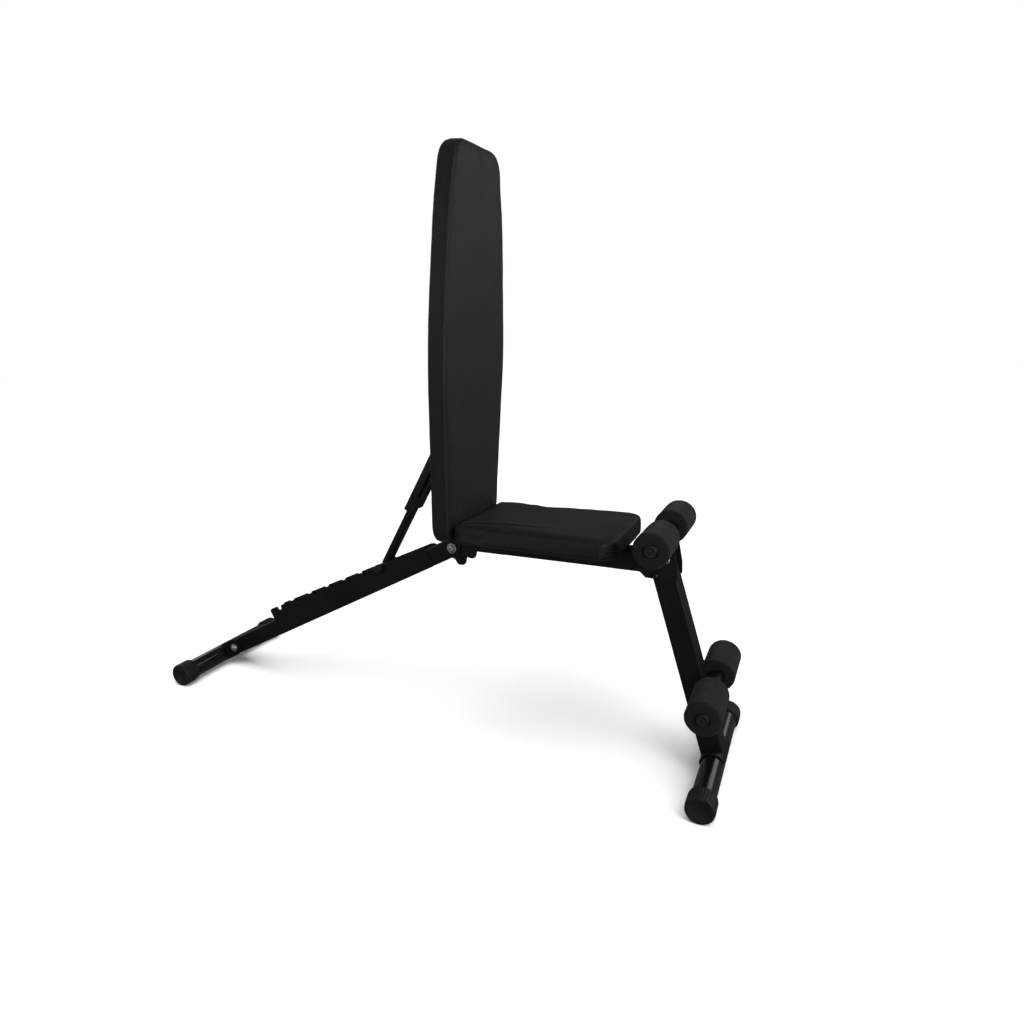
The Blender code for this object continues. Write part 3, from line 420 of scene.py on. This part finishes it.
def padded_block(name, outline, thickness, edge):
    """The filling before its cover is stretched: a slab with rounded edges, from height 0 up."""
    data = bpy.data.curves.new(name, "CURVE")
    data.dimensions = "2D"
    data.fill_mode = "BOTH"
    data.extrude = thickness / 2 - edge
    data.bevel_depth = edge
    data.bevel_resolution = 3
    data.offset = -edge
    spline = data.splines.new("POLY")
    spline.points.add(len(outline) - 1)
    for point, (x, y) in zip(spline.points, outline):
        point.co = (x, y, 0, 1)
    spline.use_cyclic_u = True
    curve = bpy.data.objects.new(name, data)
    bpy.context.scene.collection.objects.link(curve)
    bpy.context.view_layer.update()
    mesh = evaluated_mesh(curve)
    bpy.data.objects.remove(curve)
    mesh.transform(Matrix.Translation((0, 0, thickness / 2)))
    bm = bmesh.new()
    bm.from_mesh(mesh)
    bmesh.ops.remove_doubles(bm, verts=bm.verts, dist=MERGE)
    bmesh.ops.recalc_face_normals(bm, faces=bm.faces)
    bm.to_mesh(mesh)
    bm.free()
    return mesh


def applied(obj):
    """Replace an object's mesh by its evaluated one, without its modifiers."""
    mesh = evaluated_mesh(obj)
    obj.modifiers.clear()
    obj.data = mesh
    return mesh


def swell(obj, cap):
    """Inflate the cover as cloth, held on its board, with no point moving further than cap."""
    start = coordinates(obj.data)
    held = obj.vertex_groups.new(name="held")
    held.add([int(i) for i in np.flatnonzero(start[:, 2] < HELD_BELOW)], 1.0, "REPLACE")
    cloth = obj.modifiers.new("cover", "CLOTH")
    cloth.settings.quality = 6
    cloth.settings.mass = 0.3
    cloth.settings.tension_stiffness = 40
    cloth.settings.compression_stiffness = 40
    cloth.settings.shear_stiffness = 20
    cloth.settings.bending_stiffness = 12
    cloth.settings.use_pressure = True
    cloth.settings.uniform_pressure_force = PRESSURE
    cloth.settings.vertex_group_mass = "held"
    cloth.settings.effector_weights.gravity = 0
    cloth.point_cache.frame_start = FIRST_FRAME
    cloth.point_cache.frame_end = LAST_FRAME
    scene = bpy.context.scene
    for number in range(FIRST_FRAME, LAST_FRAME + 1):
        scene.frame_set(number)
    mesh = applied(obj)
    moved = coordinates(mesh) - start
    length = np.maximum(np.linalg.norm(moved, axis=1, keepdims=True), 1e-9)
    set_coordinates(mesh, start + moved / length * cap * np.tanh(length / cap))
    obj.vertex_groups.clear()
    scene.frame_set(FIRST_FRAME)


def near_path(points, path):
    """Each point's distance to a path, and how far along it that is, from 0 to 1."""
    best = np.full(len(points), 1e9)
    along = np.zeros(len(points))
    for i, (start, end) in enumerate(zip(path, path[1:])):
        step = end - start
        t = np.clip((points - start) @ step / (step @ step), 0, 1)
        distance = np.linalg.norm(points - start - t[:, None] * step, axis=1)
        closer = distance < best
        best[closer] = distance[closer]
        along[closer] = (i + t[closer]) / (len(path) - 1)
    return best, along


def crease(mesh, path, height, width):
    """A fold that runs along a path and fades at both ends; a negative height is a valley."""
    points, out = coordinates(mesh), normals(mesh)
    distance, along = near_path(points, path)
    fade = np.sin(pi * np.clip(along, 0.02, 0.98)) ** 0.6
    set_coordinates(mesh, points + out * (height * fade * np.exp(-(distance / width) ** 2))[:, None])


def gathers(mesh, centre, radius, angles, thickness):
    """Small pleats where the cover is drawn round a corner."""
    for angle in angles:
        foot = (centre[0] + radius * cos(angle), centre[1] + radius * sin(angle))
        path = bezier([(*foot, thickness * share) for share in (0, 0.2, 0.4, 0.7)])
        crease(mesh, path, -PLEAT_DEPTH, PLEAT_WIDTH)


def fill_outline(mesh, outline):
    """Stretch the swollen cover back out to its outline's full length and width."""
    points = coordinates(mesh)
    edge = np.array(outline)
    for axis in (0, 1):
        low, high = points[:, axis].min(), points[:, axis].max()
        stretch = (edge[:, axis].max() - edge[:, axis].min()) / (high - low)
        points[:, axis] = edge[:, axis].min() + (points[:, axis] - low) * stretch
    set_coordinates(mesh, points)


def lay_weave(mesh, thickness, middle):
    """Weave coordinates that fold down over the sides, so that the pattern is unbroken."""
    points, out = coordinates(mesh), np.abs(normals(mesh))
    sideways = out[:, :2] / np.maximum(out.sum(axis=1, keepdims=True) - out[:, 2:], 1e-6)
    depth = np.maximum(thickness - points[:, 2], 0)
    weave = points.copy()
    for axis in (0, 1):
        sign = np.sign(points[:, axis] - middle[axis])
        weave[:, axis] += sign * depth * sideways[:, axis]
    attribute = mesh.attributes.new("weave", "FLOAT_VECTOR", "POINT")
    attribute.data.foreach_set("vector", weave.ravel().astype(np.float32))


def cushion(name, outline, thickness, edge, axes, body, node, cap, detail):
    """One upholstered pad: filled, swollen, creased, then set in the row frame."""
    block = padded_block(name, outline(SHRINK), thickness - SHRINK, edge)
    obj = bpy.data.objects.new(name, block)
    bpy.context.scene.collection.objects.link(obj)
    remesh = obj.modifiers.new("voxels", "REMESH")
    remesh.mode = "VOXEL"
    remesh.voxel_size = VOXEL
    applied(obj)
    swell(obj, cap)
    finer = obj.modifiers.new("finer", "SUBSURF")
    finer.levels = 1
    finer.render_levels = 1
    mesh = applied(obj)
    fill_outline(mesh, outline(0))
    wrap_board(mesh, outline(0))
    detail(mesh)
    points = coordinates(mesh)
    lay_weave(mesh, thickness, (points.max(axis=0) + points.min(axis=0)) / 2)
    mesh.transform(axes)
    mesh.materials.clear()
    mesh.materials.append(VINYL)
    mesh.shade_smooth()
    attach(obj, body)
    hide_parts(node)


def stapled_sides(mesh, place):
    """Draw the cover's lower edge in a little at regular places, of which one is given."""
    points, out = coordinates(mesh), normals(mesh)
    low = np.exp(-(points[:, 2] / 0.014) ** 2) * (1 - np.abs(out[:, 2]))
    travel = np.where(np.abs(out[:, 0]) > np.abs(out[:, 1]), points[:, 1], points[:, 0])
    pull = 0.5 + 0.5 * np.cos(2 * pi * (travel - place) / PULL_PITCH)
    set_coordinates(mesh, points - out * (0.0009 * low * pull)[:, None])


def slack(mesh, size, height):
    """A faint unevenness of the filling under the cover."""
    points, out = coordinates(mesh), normals(mesh)
    lumps = np.array([noise.noise(Vector(point) / size) for point in points])
    free = np.clip(points[:, 2] / 0.020, 0, 1)
    set_coordinates(mesh, points + out * (height * lumps * free)[:, None])


def wrap_board(mesh, outline):
    """Lay the cover's margin over the board's edge, flat under the tube, with bare board inside it."""
    points, out = coordinates(mesh), normals(mesh)
    across_first = np.ptp(points[:, 1]) > np.ptp(points[:, 0])
    path = [np.array(point) for point in outline + outline[:1]]
    margin = near_path(points[:, :2], path)[0]
    ragged = np.array([noise.noise(Vector((x, y, 0)) / 0.02) for x, y in points[:, :2]])
    bare = np.clip((margin - MARGIN - 0.0012 * ragged) / 0.004, 0, 1)
    facing_back = np.clip((0.006 - points[:, 2]) / 0.003, 0, 1) * np.clip(-out[:, 2] * 2, 0, 1)
    rear = facing_back * np.clip(margin / 0.012, 0, 1)
    from_middle = np.abs(points[:, 0 if across_first else 1])
    proud = MARGIN_PROUD * np.clip((from_middle - TUBE_STRIP) / 0.006, 0, 1)
    depth = (BARE_BOARD + proud) * bare - proud
    points[:, 2] += rear * (depth - points[:, 2])
    set_coordinates(mesh, points)


def back_details(mesh):
    """Draw the foot of the back pad in, with a tuck from each corner, and round it to clear the rear beam."""
    points = coordinates(mesh)
    t = BACK_THICKNESS
    across = np.clip(1 - (points[:, 0] / 0.115) ** 2, 0, 1)
    lower = np.clip((BACK_BOTTOM + 0.070 - points[:, 1]) / 0.060, 0, 1)
    front = np.clip(points[:, 2] / t, 0, 1)
    points[:, 2] -= 0.0120 * lower ** 2 * (0.35 + 0.65 * across) * front
    set_coordinates(mesh, points)
    for side in (1, -1):
        bottom = BACK_BOTTOM + 0.006
        tuck = [(side * 0.104, bottom, t - 0.004), (side * 0.098, bottom + 0.018, t),
                (side * 0.070, bottom + 0.040, t - 0.002), (side * 0.020, bottom + 0.060, t)]
        crease(mesh, bezier(tuck), -0.0022, 0.0060)
        fold = [(side * 0.106, bottom + 0.004, t), (side * 0.099, bottom + 0.034, t),
                (side * 0.085, bottom + 0.056, t), (side * 0.050, bottom + 0.080, t)]
        crease(mesh, bezier(fold), 0.0016, 0.0065)
        corner = (side * (BACK_TOP_HALF - BACK_TOP_RADIUS), BACK_TOP - BACK_TOP_RADIUS)
        angles = [pi / 2 - side * radians(a) for a in (8, 24, 42, 60, 78)]
        gathers(mesh, corner, BACK_TOP_RADIUS, angles, t)
        low_corner = (side * BACK_PLEATS, BACK_BOTTOM + BACK_LOW_RADIUS)
        angles = [-pi / 2 + side * radians(a) for a in (10, 32, 55, 78)]
        gathers(mesh, low_corner, BACK_LOW_RADIUS, angles, t)
    stapled_sides(mesh, BACK_PULL)
    slack(mesh, 0.075, 0.0009)
    points = coordinates(mesh)
    chamfer = 0.0090
    relief = np.clip(chamfer - (points[:, 1] - BACK_BOTTOM) - points[:, 2], 0, 0.02) / 2
    points[:, 1] += relief
    points[:, 2] += relief
    over_beam = (np.abs(points[:, 0]) < 0.034) & (points[:, 2] < 0.024)
    points[over_beam, 1] = np.maximum(points[over_beam, 1], BACK_BOTTOM + 0.0012)
    set_coordinates(mesh, points)


def seat_details(mesh):
    """A hollow where the seat is sat on, pull lines from its rear corners, and gathers at all four."""
    t = SEAT_THICKNESS
    points = coordinates(mesh)
    middle = np.array([(SEAT_REAR + SEAT_FRONT) / 2, 0.0])
    reach = ((points[:, 0] - middle[0]) / 0.15) ** 2 + (points[:, 1] / 0.10) ** 2
    points[:, 2] -= 0.0022 * np.exp(-reach) * np.clip(points[:, 2] / t, 0, 1)
    set_coordinates(mesh, points)
    rear, half = SEAT_REAR, SEAT_HALF_WIDTH
    for side, strength in ((-1, 1.0), (1, 0.55)):
        ridge = [(rear + 0.004, side * (half - 0.012), t - 0.004), (rear + 0.030, side * (half - 0.040), t),
                 (rear + 0.090, side * (half - 0.058), t), (rear + 0.215, side * (half - 0.062), t)]
        valley = [(rear + 0.006, side * (half - 0.006), t - 0.005), (rear + 0.038, side * (half - 0.030), t),
                  (rear + 0.090, side * (half - 0.047), t), (rear + 0.190, side * (half - 0.050), t)]
        inner = [(rear + 0.004, side * (half - 0.030), t - 0.002), (rear + 0.026, side * (half - 0.056), t),
                 (rear + 0.060, side * (half - 0.074), t), (rear + 0.130, side * (half - 0.082), t)]
        crease(mesh, bezier(ridge), 0.0017 * strength, 0.0045)
        crease(mesh, bezier(valley), -0.0016 * strength, 0.0050)
        crease(mesh, bezier(inner), -0.0010 * strength, 0.0050)
        rear_corner = (rear + SEAT_REAR_RADIUS, side * (half - SEAT_TAPER - SEAT_REAR_RADIUS))
        angles = [pi - side * radians(a) for a in (12, 34, 56, 80)]
        gathers(mesh, rear_corner, SEAT_REAR_RADIUS, angles, t)
        front_corner = (SEAT_FRONT - SEAT_FRONT_RADIUS, side * (half - SEAT_FRONT_RADIUS))
        angles = [side * radians(a) for a in (10, 30, 50, 70, 86)]
        gathers(mesh, front_corner, SEAT_FRONT_RADIUS, angles, t)
    stapled_sides(mesh, SEAT_PULL)
    slack(mesh, 0.060, 0.0008)


def staples(name, outline, inset, axes, body, pitch):
    """Wire staples that hold the cover's margin to the board."""
    loop = outline(inset)
    mesh = bpy.data.meshes.new(name)
    bm = bmesh.new()
    left = 0.0
    for start, end in zip(loop, loop[1:] + loop[:1]):
        first, last = Vector((*start, 0)), Vector((*end, 0))
        length = (last - first).length
        while left < length:
            place = first.lerp(last, left / length) + Vector((0, 0, -STAPLE_LIFT))
            angle = atan2(last.y - first.y, last.x - first.x) + radians(12)
            turned = Matrix.Translation(place) @ Matrix.Rotation(angle, 4, "Z")
            bmesh.ops.create_cube(bm, size=1, matrix=turned @ Matrix.Diagonal((*STAPLE_SIZE, 1)))
            left += pitch
        left -= length
    bm.to_mesh(mesh)
    bm.free()
    mesh.transform(axes)
    obj = new_piece(name, mesh, ZINC, body)
    soft = obj.modifiers.new("bent_wire", "BEVEL")
    soft.width = 0.0003
    soft.segments = 2


def upholstery():
    seat_axes = Matrix.Translation((HINGE.x, 0, SEAT_TOP - SEAT_THICKNESS))
    cushion("seat_cushion", seat_outline, SEAT_THICKNESS, 0.007, seat_axes, "seat_frame", "seat_pad", 0.0028,
            seat_details)
    across_along_out = Matrix(((0, 0, 1, 0), (1, 0, 0, 0), (0, 1, 0, 0), (0, 0, 0, 1)))
    lift = Matrix.Translation((BACK_FRONT - BACK_THICKNESS, 0, 0))
    back_axes = BACK_AXES @ lift @ across_along_out
    cushion("back_cushion", back_outline, BACK_THICKNESS, 0.008, back_axes, "backrest", "back_pad", 0.0020,
            back_details)
    staples("seat_staples", seat_outline, STAPLE_INSET, seat_axes, "seat_frame", 0.026)
    staples("back_staples", back_outline, STAPLE_INSET, back_axes, "backrest", 0.028)


# ---------------------------------------------------------------- foam rollers
def foam_sleeve(node):
    """A tube of foam with rounded ends and a skin that is a little uneven."""
    low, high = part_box(node)
    centre = (low + high) / 2
    radius, half = (high.z - low.z) / 2, (high.y - low.y) / 2
    bore, edge = 0.0130, 0.0038
    steps = [edge * (1 - cos(radians(a))) for a in (0, 22, 45, 68, 90)]
    drops = [edge * (1 - sin(radians(a))) for a in (0, 22, 45, 68, 90)]
    end = [(radius - edge + (edge - drop), half - step) for step, drop in zip(steps, drops)]
    face = [(bore, half - 0.0006), (bore + 0.002, half - 0.0001), (radius * 0.6, half), (radius * 0.78, half)]
    body = [(radius, y) for y in np.linspace(half - edge, -half + edge, 44)[1:-1]]
    profile = face + end + body + [(r, -y) for r, y in reversed(face + end)]

    def dented(wide, y, angle):
        place = Vector((cos(angle) * 0.034, centre.y + y, sin(angle) * 0.034 + centre.z))
        soft = min(1.0, max(0.0, (wide - bore) / 0.015))
        dents = 0.0007 * noise.noise(place / 0.030) + 0.00022 * noise.noise(place / 0.007) - 0.0004
        return wide + soft * dents

    mesh = lathe(node + "_sleeve", profile, centre, sides=96, shape=dented)
    obj = new_piece(node + "_sleeve", mesh, FOAM, BODY_OF[node])
    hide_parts(node)


# ---------------------------------------------------------------- plastic ends, tubes and fasteners
def end_piece(node):
    """An end piece's centre on the middle plane, its side and radius, and where it starts and ends."""
    low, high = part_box(node)
    centre = Vector(((low.x + high.x) / 2, 0, (low.z + high.z) / 2))
    side = 1 if high.y > 0 else -1
    start, end = sorted((abs(low.y), abs(high.y)))
    return centre, side, (high.z - low.z) / 2, start, end


def ribbed_cap(node):
    """Foot cap: lengthwise ribs, a smooth rim at the end and a shallow dish in its face."""
    centre, side, radius, start, end = end_piece(node)
    bore = 0.0228
    top = start + 0.0015
    profile = [(0, end - 0.0022), (radius * 0.30, end - 0.0022), (radius * 0.34, end - 0.0014),
               (radius * 0.70, end - 0.0014), (radius * 0.74, end - 0.0003), (radius - 0.0040, end),
               (radius - 0.0015, end - 0.0008), (radius - 0.0003, end - 0.0026), (radius, end - 0.0050),
               (radius, end - 0.0075), (radius, end - 0.0090), (radius, start + 0.0080),
               (radius, start + 0.0062), (radius, start + 0.0045), (radius - 0.0006, top),
               (radius - 0.0020, start), (bore, start), (bore, end - 0.0040), (0, end - 0.0040)]

    def ribs(wide, y, angle):
        if wide < radius - 0.001:
            return wide
        below_rim = min(1.0, max(0.0, (end - 0.0080 - y) / 0.0012))
        above_start = min(1.0, max(0.0, (y - start - 0.0055) / 0.0012))
        return wide - CAP_RIB_DEPTH * (below_rim * above_start) * (0.5 - 0.5 * cos(CAP_RIBS * angle)) ** 0.8

    mesh = lathe(node + "_moulded", profile, centre, side, sides=CAP_RIBS * 8, shape=ribs)
    obj = new_piece(node + "_moulded", mesh, PLASTIC, BODY_OF[node], radians(50))
    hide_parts(node)


def roller_plug(node):
    """End plug: a raised rim round a shallow dish, and a stem that fills the tube's bore."""
    centre, side, wide, start, end = end_piece(node)
    seat, stem = end - 0.0025, 0.0109
    profile = [(0, end - 0.0004), (wide * 0.55, end - 0.0008), (wide * 0.68, end - 0.0010),
               (wide * 0.78, end - 0.0001), (wide * 0.90, end), (wide * 0.98, end - 0.0006),
               (wide, end - 0.0014), (wide, seat), (stem, seat), (stem, start), (0, start)]
    mesh = lathe(node + "_moulded", profile, centre, side)
    obj = new_piece(node + "_moulded", mesh, PLASTIC, BODY_OF[node], radians(50))
    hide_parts(node)


def round_tube(node, radius, wall, material):
    """A smooth tube in place of a faceted one."""
    low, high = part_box(node)
    centre = (low + high) / 2
    half = (high.y - low.y) / 2
    lip = 0.0004
    profile = [(radius - lip, half), (radius, half - lip)]
    profile += [(radius, y) for y in np.linspace(half - 0.01, -half + 0.01, 16)]
    profile += [(radius, -half + lip), (radius - lip, -half), (radius - wall, -half), (radius - wall, half)]
    mesh = lathe(node + "_drawn", profile, centre)
    obj = new_piece(node + "_drawn", mesh, material, BODY_OF[node], radians(40))
    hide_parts(node)


def domed_bolt(node, material, socket=0.0028):
    """Button-head bolt with a hexagon socket, a washer under its head and a plain shank."""
    low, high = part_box(node)
    centre = Vector(((low.x + high.x) / 2, 0, (low.z + high.z) / 2))
    wide = (high.z - low.z) / 2
    head, seat, tip = -low.y, -low.y - 0.0070, high.y
    shank = 0.0058 if wide > 0.011 else 0.0038
    profile = [(0, head - 0.0030), (socket * 0.8, head - 0.0030), (socket, head - 0.0026),
               (socket, head - 0.0002), (socket + 0.0006, head), (wide * 0.42, head - 0.0003),
               (wide * 0.60, head - 0.0014), (wide * 0.72, head - 0.0030), (wide * 0.76, head - 0.0046),
               (wide * 0.75, head - 0.0052), (wide * 0.96, head - 0.0053), (wide, head - 0.0058),
               (wide, seat + 0.0003), (wide - 0.0003, seat), (shank, seat), (shank, -tip + 0.001),
               (shank - 0.001, -tip), (0, -tip)]

    def hexagon(radius, y, angle):
        if radius > socket + 0.0001 or y < head - 0.0035:
            return radius
        turn = (angle % (pi / 3)) - pi / 6
        return radius * cos(pi / 6) / cos(turn) * 1.06

    mesh = lathe(node + "_turned", profile, centre, -1, sides=48, shape=hexagon)
    obj = new_piece(node + "_turned", mesh, material, BODY_OF[node], radians(40))
    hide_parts(node)


def screw_head(name, place, axis, body, radius=0.0062):
    """Pan-head screw with a washer; its axis points away from the piece it holds."""
    profile = [(0, 0.0028), (0.0016, 0.0028), (0.0018, 0.0040), (radius * 0.55, 0.0040),
               (radius * 0.74, 0.0032), (radius * 0.80, 0.0012), (radius, 0.0011), (radius, 0.0001),
               (0, 0.0001)]
    mesh = lathe(name, profile, Vector(), sides=32)
    turn = Vector((0, 1, 0)).rotation_difference(Vector(axis).normalized()).to_matrix().to_4x4()
    mesh.transform(Matrix.Translation(place) @ turn)
    new_piece(name, mesh, ZINC, body, radians(40))


def weld_bead(name, path, body, radius=0.0019):
    """A rippled weld along a path, coated like the steel beside it."""
    spans = [0.0]
    for a, b in zip(path, path[1:]):
        spans.append(spans[-1] + (b - a).length)
    length = spans[-1]
    count = max(8, int(length / WELD_STEP))
    bm = bmesh.new()
    rings = []
    for i in range(count + 1):
        s = length * i / count
        k = next((n for n in range(len(path) - 1) if spans[n + 1] >= s), len(path) - 2)
        t = (s - spans[k]) / max(spans[k + 1] - spans[k], 1e-9)
        place = path[k].lerp(path[k + 1], t)
        ahead = (path[k + 1] - path[k]).normalized()
        side = ahead.orthogonal().normalized()
        up = ahead.cross(side)
        taper = min(1.0, 0.35 + min(s, length - s) / 0.003)
        wide = radius * taper * (1 + 0.16 * cos(2 * pi * s / WELD_RIPPLE) + 0.10 * noise.noise(place / 0.004))
        rings.append([bm.verts.new(place + (side * cos(a) + up * sin(a)) * wide)
                      for a in np.linspace(0, 2 * pi, WELD_SIDES, endpoint=False)])
    for first, second in zip(rings, rings[1:]):
        for j in range(WELD_SIDES):
            n = (j + 1) % WELD_SIDES
            bm.faces.new((first[j], first[n], second[n], second[j]))
    bm.faces.new(rings[0])
    bm.faces.new(rings[-1])
    bmesh.ops.recalc_face_normals(bm, faces=bm.faces)
    mesh = bpy.data.meshes.new(name)
    bm.to_mesh(mesh)
    bm.free()
    new_piece(name, mesh, COAT, body)


def arc_path(centre, radius, y, start, end, steps=14):
    """Points on an arc about Y, at one y."""
    angles = [start + (end - start) * i / steps for i in range(steps + 1)]
    return [Vector((centre.x + radius * cos(a), y, centre.z + radius * sin(a))) for a in angles]


def welds():
    """Beads where the foot tubes, the rail and the roller tubes meet the steel that carries them."""
    beam_angle = atan2(HINGE.z - REAR_FOOT.z, HINGE.x - REAR_FOOT.x)
    pivot = Vector(JOINTS["front_leg_fold"]["pos_m"])
    leg_angle = atan2(pivot.z - FRONT_FOOT.z, pivot.x - FRONT_FOOT.x)
    for side, word in ((1, "left"), (-1, "right")):
        turn = radians(64)
        rear = arc_path(REAR_FOOT, 0.0232, side * 0.0266, beam_angle - turn, beam_angle + turn)
        weld_bead("rear_foot_weld_" + word, rear, "rear_leg")
        saddle = arc_path(FRONT_FOOT, 0.0246, side * 0.0374, leg_angle - radians(75), leg_angle + radians(75))
        weld_bead("front_saddle_weld_" + word, saddle, "front_leg", 0.0016)
        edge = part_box("hinge_bracket_" + word)[1].x
        rail = [Vector((edge + 0.0004, side * 0.0232, z)) for z in np.linspace(0.406, 0.434, 5)]
        weld_bead("rail_weld_" + word, rail, "seat_frame", 0.0016)
        low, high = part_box("top_roller_tube")
        middle = (low + high) / 2
        top = arc_path(middle, 0.0130, side * 0.0262, radians(205), radians(335), 10)
        weld_bead("top_roller_weld_" + word, top, "seat_frame", 0.0014)
    low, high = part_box("low_roller_tube")
    middle = (low + high) / 2
    up_leg = Vector((cos(leg_angle), 0, sin(leg_angle)))
    across = (-up_leg).cross(Vector((0, 1, 0)))
    to_rear = (across if across.x < 0 else -across) * 0.0105
    for word, sign in (("upper", 1), ("lower", -1)):
        start = middle + up_leg * sign * 0.0105 + to_rear
        path = [start + Vector((0, y, 0)) for y in np.linspace(-0.020, 0.020, 6)]
        weld_bead("low_roller_weld_" + word, path, "front_leg", 0.0018)


def screws():
    """Screws through the seat plates, and through the backrest tube into its board."""
    for word in ("rear", "front"):
        low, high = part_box("seat_plate_" + word)
        for side, hand in ((1, "left"), (-1, "right")):
            place = ((low.x + high.x) / 2, side * 0.068, low.z)
            screw_head("seat_screw_" + word + "_" + hand, place, (0, 0, -1), "seat_frame")
    tube_depth, gap = 0.015, 0.0003
    tube_face = BACK_FRONT - BACK_THICKNESS - gap - tube_depth
    for word, along in (("low", 0.190), ("middle", 0.360), ("high", 0.520)):
        place = BACK_AXES @ Vector((tube_face, 0, along))
        screw_head("back_screw_" + word, place, -BACK_NORMAL, "backrest", 0.0080)


# ---------------------------------------------------------------- studio
def studio_floor():
    """A white floor that isn't seen in the pieces, so that they stay black."""
    floor = bpy.data.meshes.new("floor")
    bm = bmesh.new()
    bmesh.ops.create_grid(bm, x_segments=1, y_segments=1, size=14)
    bm.to_mesh(floor)
    bm.free()
    ground = bpy.data.objects.new("floor", floor)
    ground.location.z = -0.0008
    ground.visible_diffuse = False
    ground.visible_glossy = False
    bpy.context.scene.collection.objects.link(ground)
    material, tree, shader = new_material("studio_floor", (0.86, 0.86, 0.85), 0.85, specular=0.1)
    tone = blend_colours(tree, object_noise(tree, 0.8, 2.0), (0.85, 0.85, 0.845), (0.87, 0.87, 0.865))
    tree.links.new(tone, shader.inputs["Base Color"])
    floor.materials.append(material)
    return ground


def studio_world():
    """White to the camera, and a faint light to everything else."""
    world = bpy.data.worlds.new("studio")
    world.use_nodes = True
    tree = world.node_tree
    background = tree.nodes["Background"]
    seen = add(tree, "LightPath").outputs["Is Camera Ray"]
    shade = blend_colours(tree, seen, (0.070, 0.073, 0.079), (1.0, 1.0, 1.0))
    tree.links.new(shade, background.inputs["Color"])
    bpy.context.scene.world = world


def studio_lamps(ground):
    """Soft lamps for the bench, and a sun that lights the floor alone."""
    for name, place, size, power in LAMPS:
        lamp = bpy.data.lights.new(name, "AREA")
        lamp.size = size
        lamp.energy = power
        obj = bpy.data.objects.new(name, lamp)
        obj.location = place
        aim = LAMP_AIM - Vector(place)
        obj.rotation_euler = aim.to_track_quat("-Z", "Y").to_euler()
        bpy.context.scene.collection.objects.link(obj)
    lit = bpy.data.collections.new("floor_only")
    lit.objects.link(ground)
    sun = bpy.data.lights.new("floor_light", "SUN")
    sun.energy = 3.9
    sun.angle = radians(70)
    obj = bpy.data.objects.new("floor_light", sun)
    obj.rotation_euler = (radians(14), radians(10), 0)
    bpy.context.scene.collection.objects.link(obj)
    obj.light_linking.receiver_collection = lit


def camera():
    """The photo's camera, from its yaw, pitch and roll."""
    level = cos(CAMERA_PITCH)
    ahead = Vector((sin(CAMERA_YAW) * level, cos(CAMERA_YAW) * level, sin(CAMERA_PITCH)))
    right = Vector((cos(CAMERA_YAW), -sin(CAMERA_YAW), 0))
    up = right.cross(ahead)
    turned_right = right * cos(CAMERA_ROLL) + up * sin(CAMERA_ROLL)
    turned_up = up * cos(CAMERA_ROLL) - right * sin(CAMERA_ROLL)
    data = bpy.data.cameras.new("camera")
    data.lens = CAMERA_LENS
    data.shift_x, data.shift_y = CAMERA_SHIFT
    obj = bpy.data.objects.new("camera", data)
    axes = Matrix((turned_right, turned_up, -ahead)).transposed()
    obj.matrix_world = Matrix.Translation(CAMERA_PLACE) @ axes.to_4x4()
    bpy.context.scene.collection.objects.link(obj)
    bpy.context.scene.camera = obj


# ---------------------------------------------------------------- the bench
def bench():
    upholstery()
    for node in ("top_foam_left", "top_foam_right", "low_foam_left", "low_foam_right"):
        foam_sleeve(node)
    for foot in ("rear", "front"):
        round_tube(foot + "_foot_tube", 0.0225, 0.002, GLOSS)
        for word in ("left", "right"):
            ribbed_cap(foot + "_foot_cap_" + word)
    for level in ("top", "low"):
        round_tube(level + "_roller_tube", 0.0127, 0.0015, COAT)
        for word in ("left", "right"):
            roller_plug(level + "_roller_plug_" + word)
    domed_bolt("main_hinge_bolt", ZINC, 0.0032)
    domed_bolt("rear_foot_bolt", ZINC)
    domed_bolt("front_pivot_bolt", COAT, 0.0024)
    domed_bolt("strut_bolt", COAT, 0.0024)
    welds()
    screws()
    slots = {row["node"]: row["material_slot"] for row in RECORD["subparts"]}
    for node, obj in frame["nodes"].items():
        if not obj.hide_render:
            # the stops have the zinc slot, but the photo shows no bright metal there
            dress(node, COAT if "stop" in node else FINISH[slots[node]])


bench()
white_floor = studio_floor()
studio_world()
studio_lamps(white_floor)
camera()
bpy.context.scene.view_settings.view_transform = "Standard"
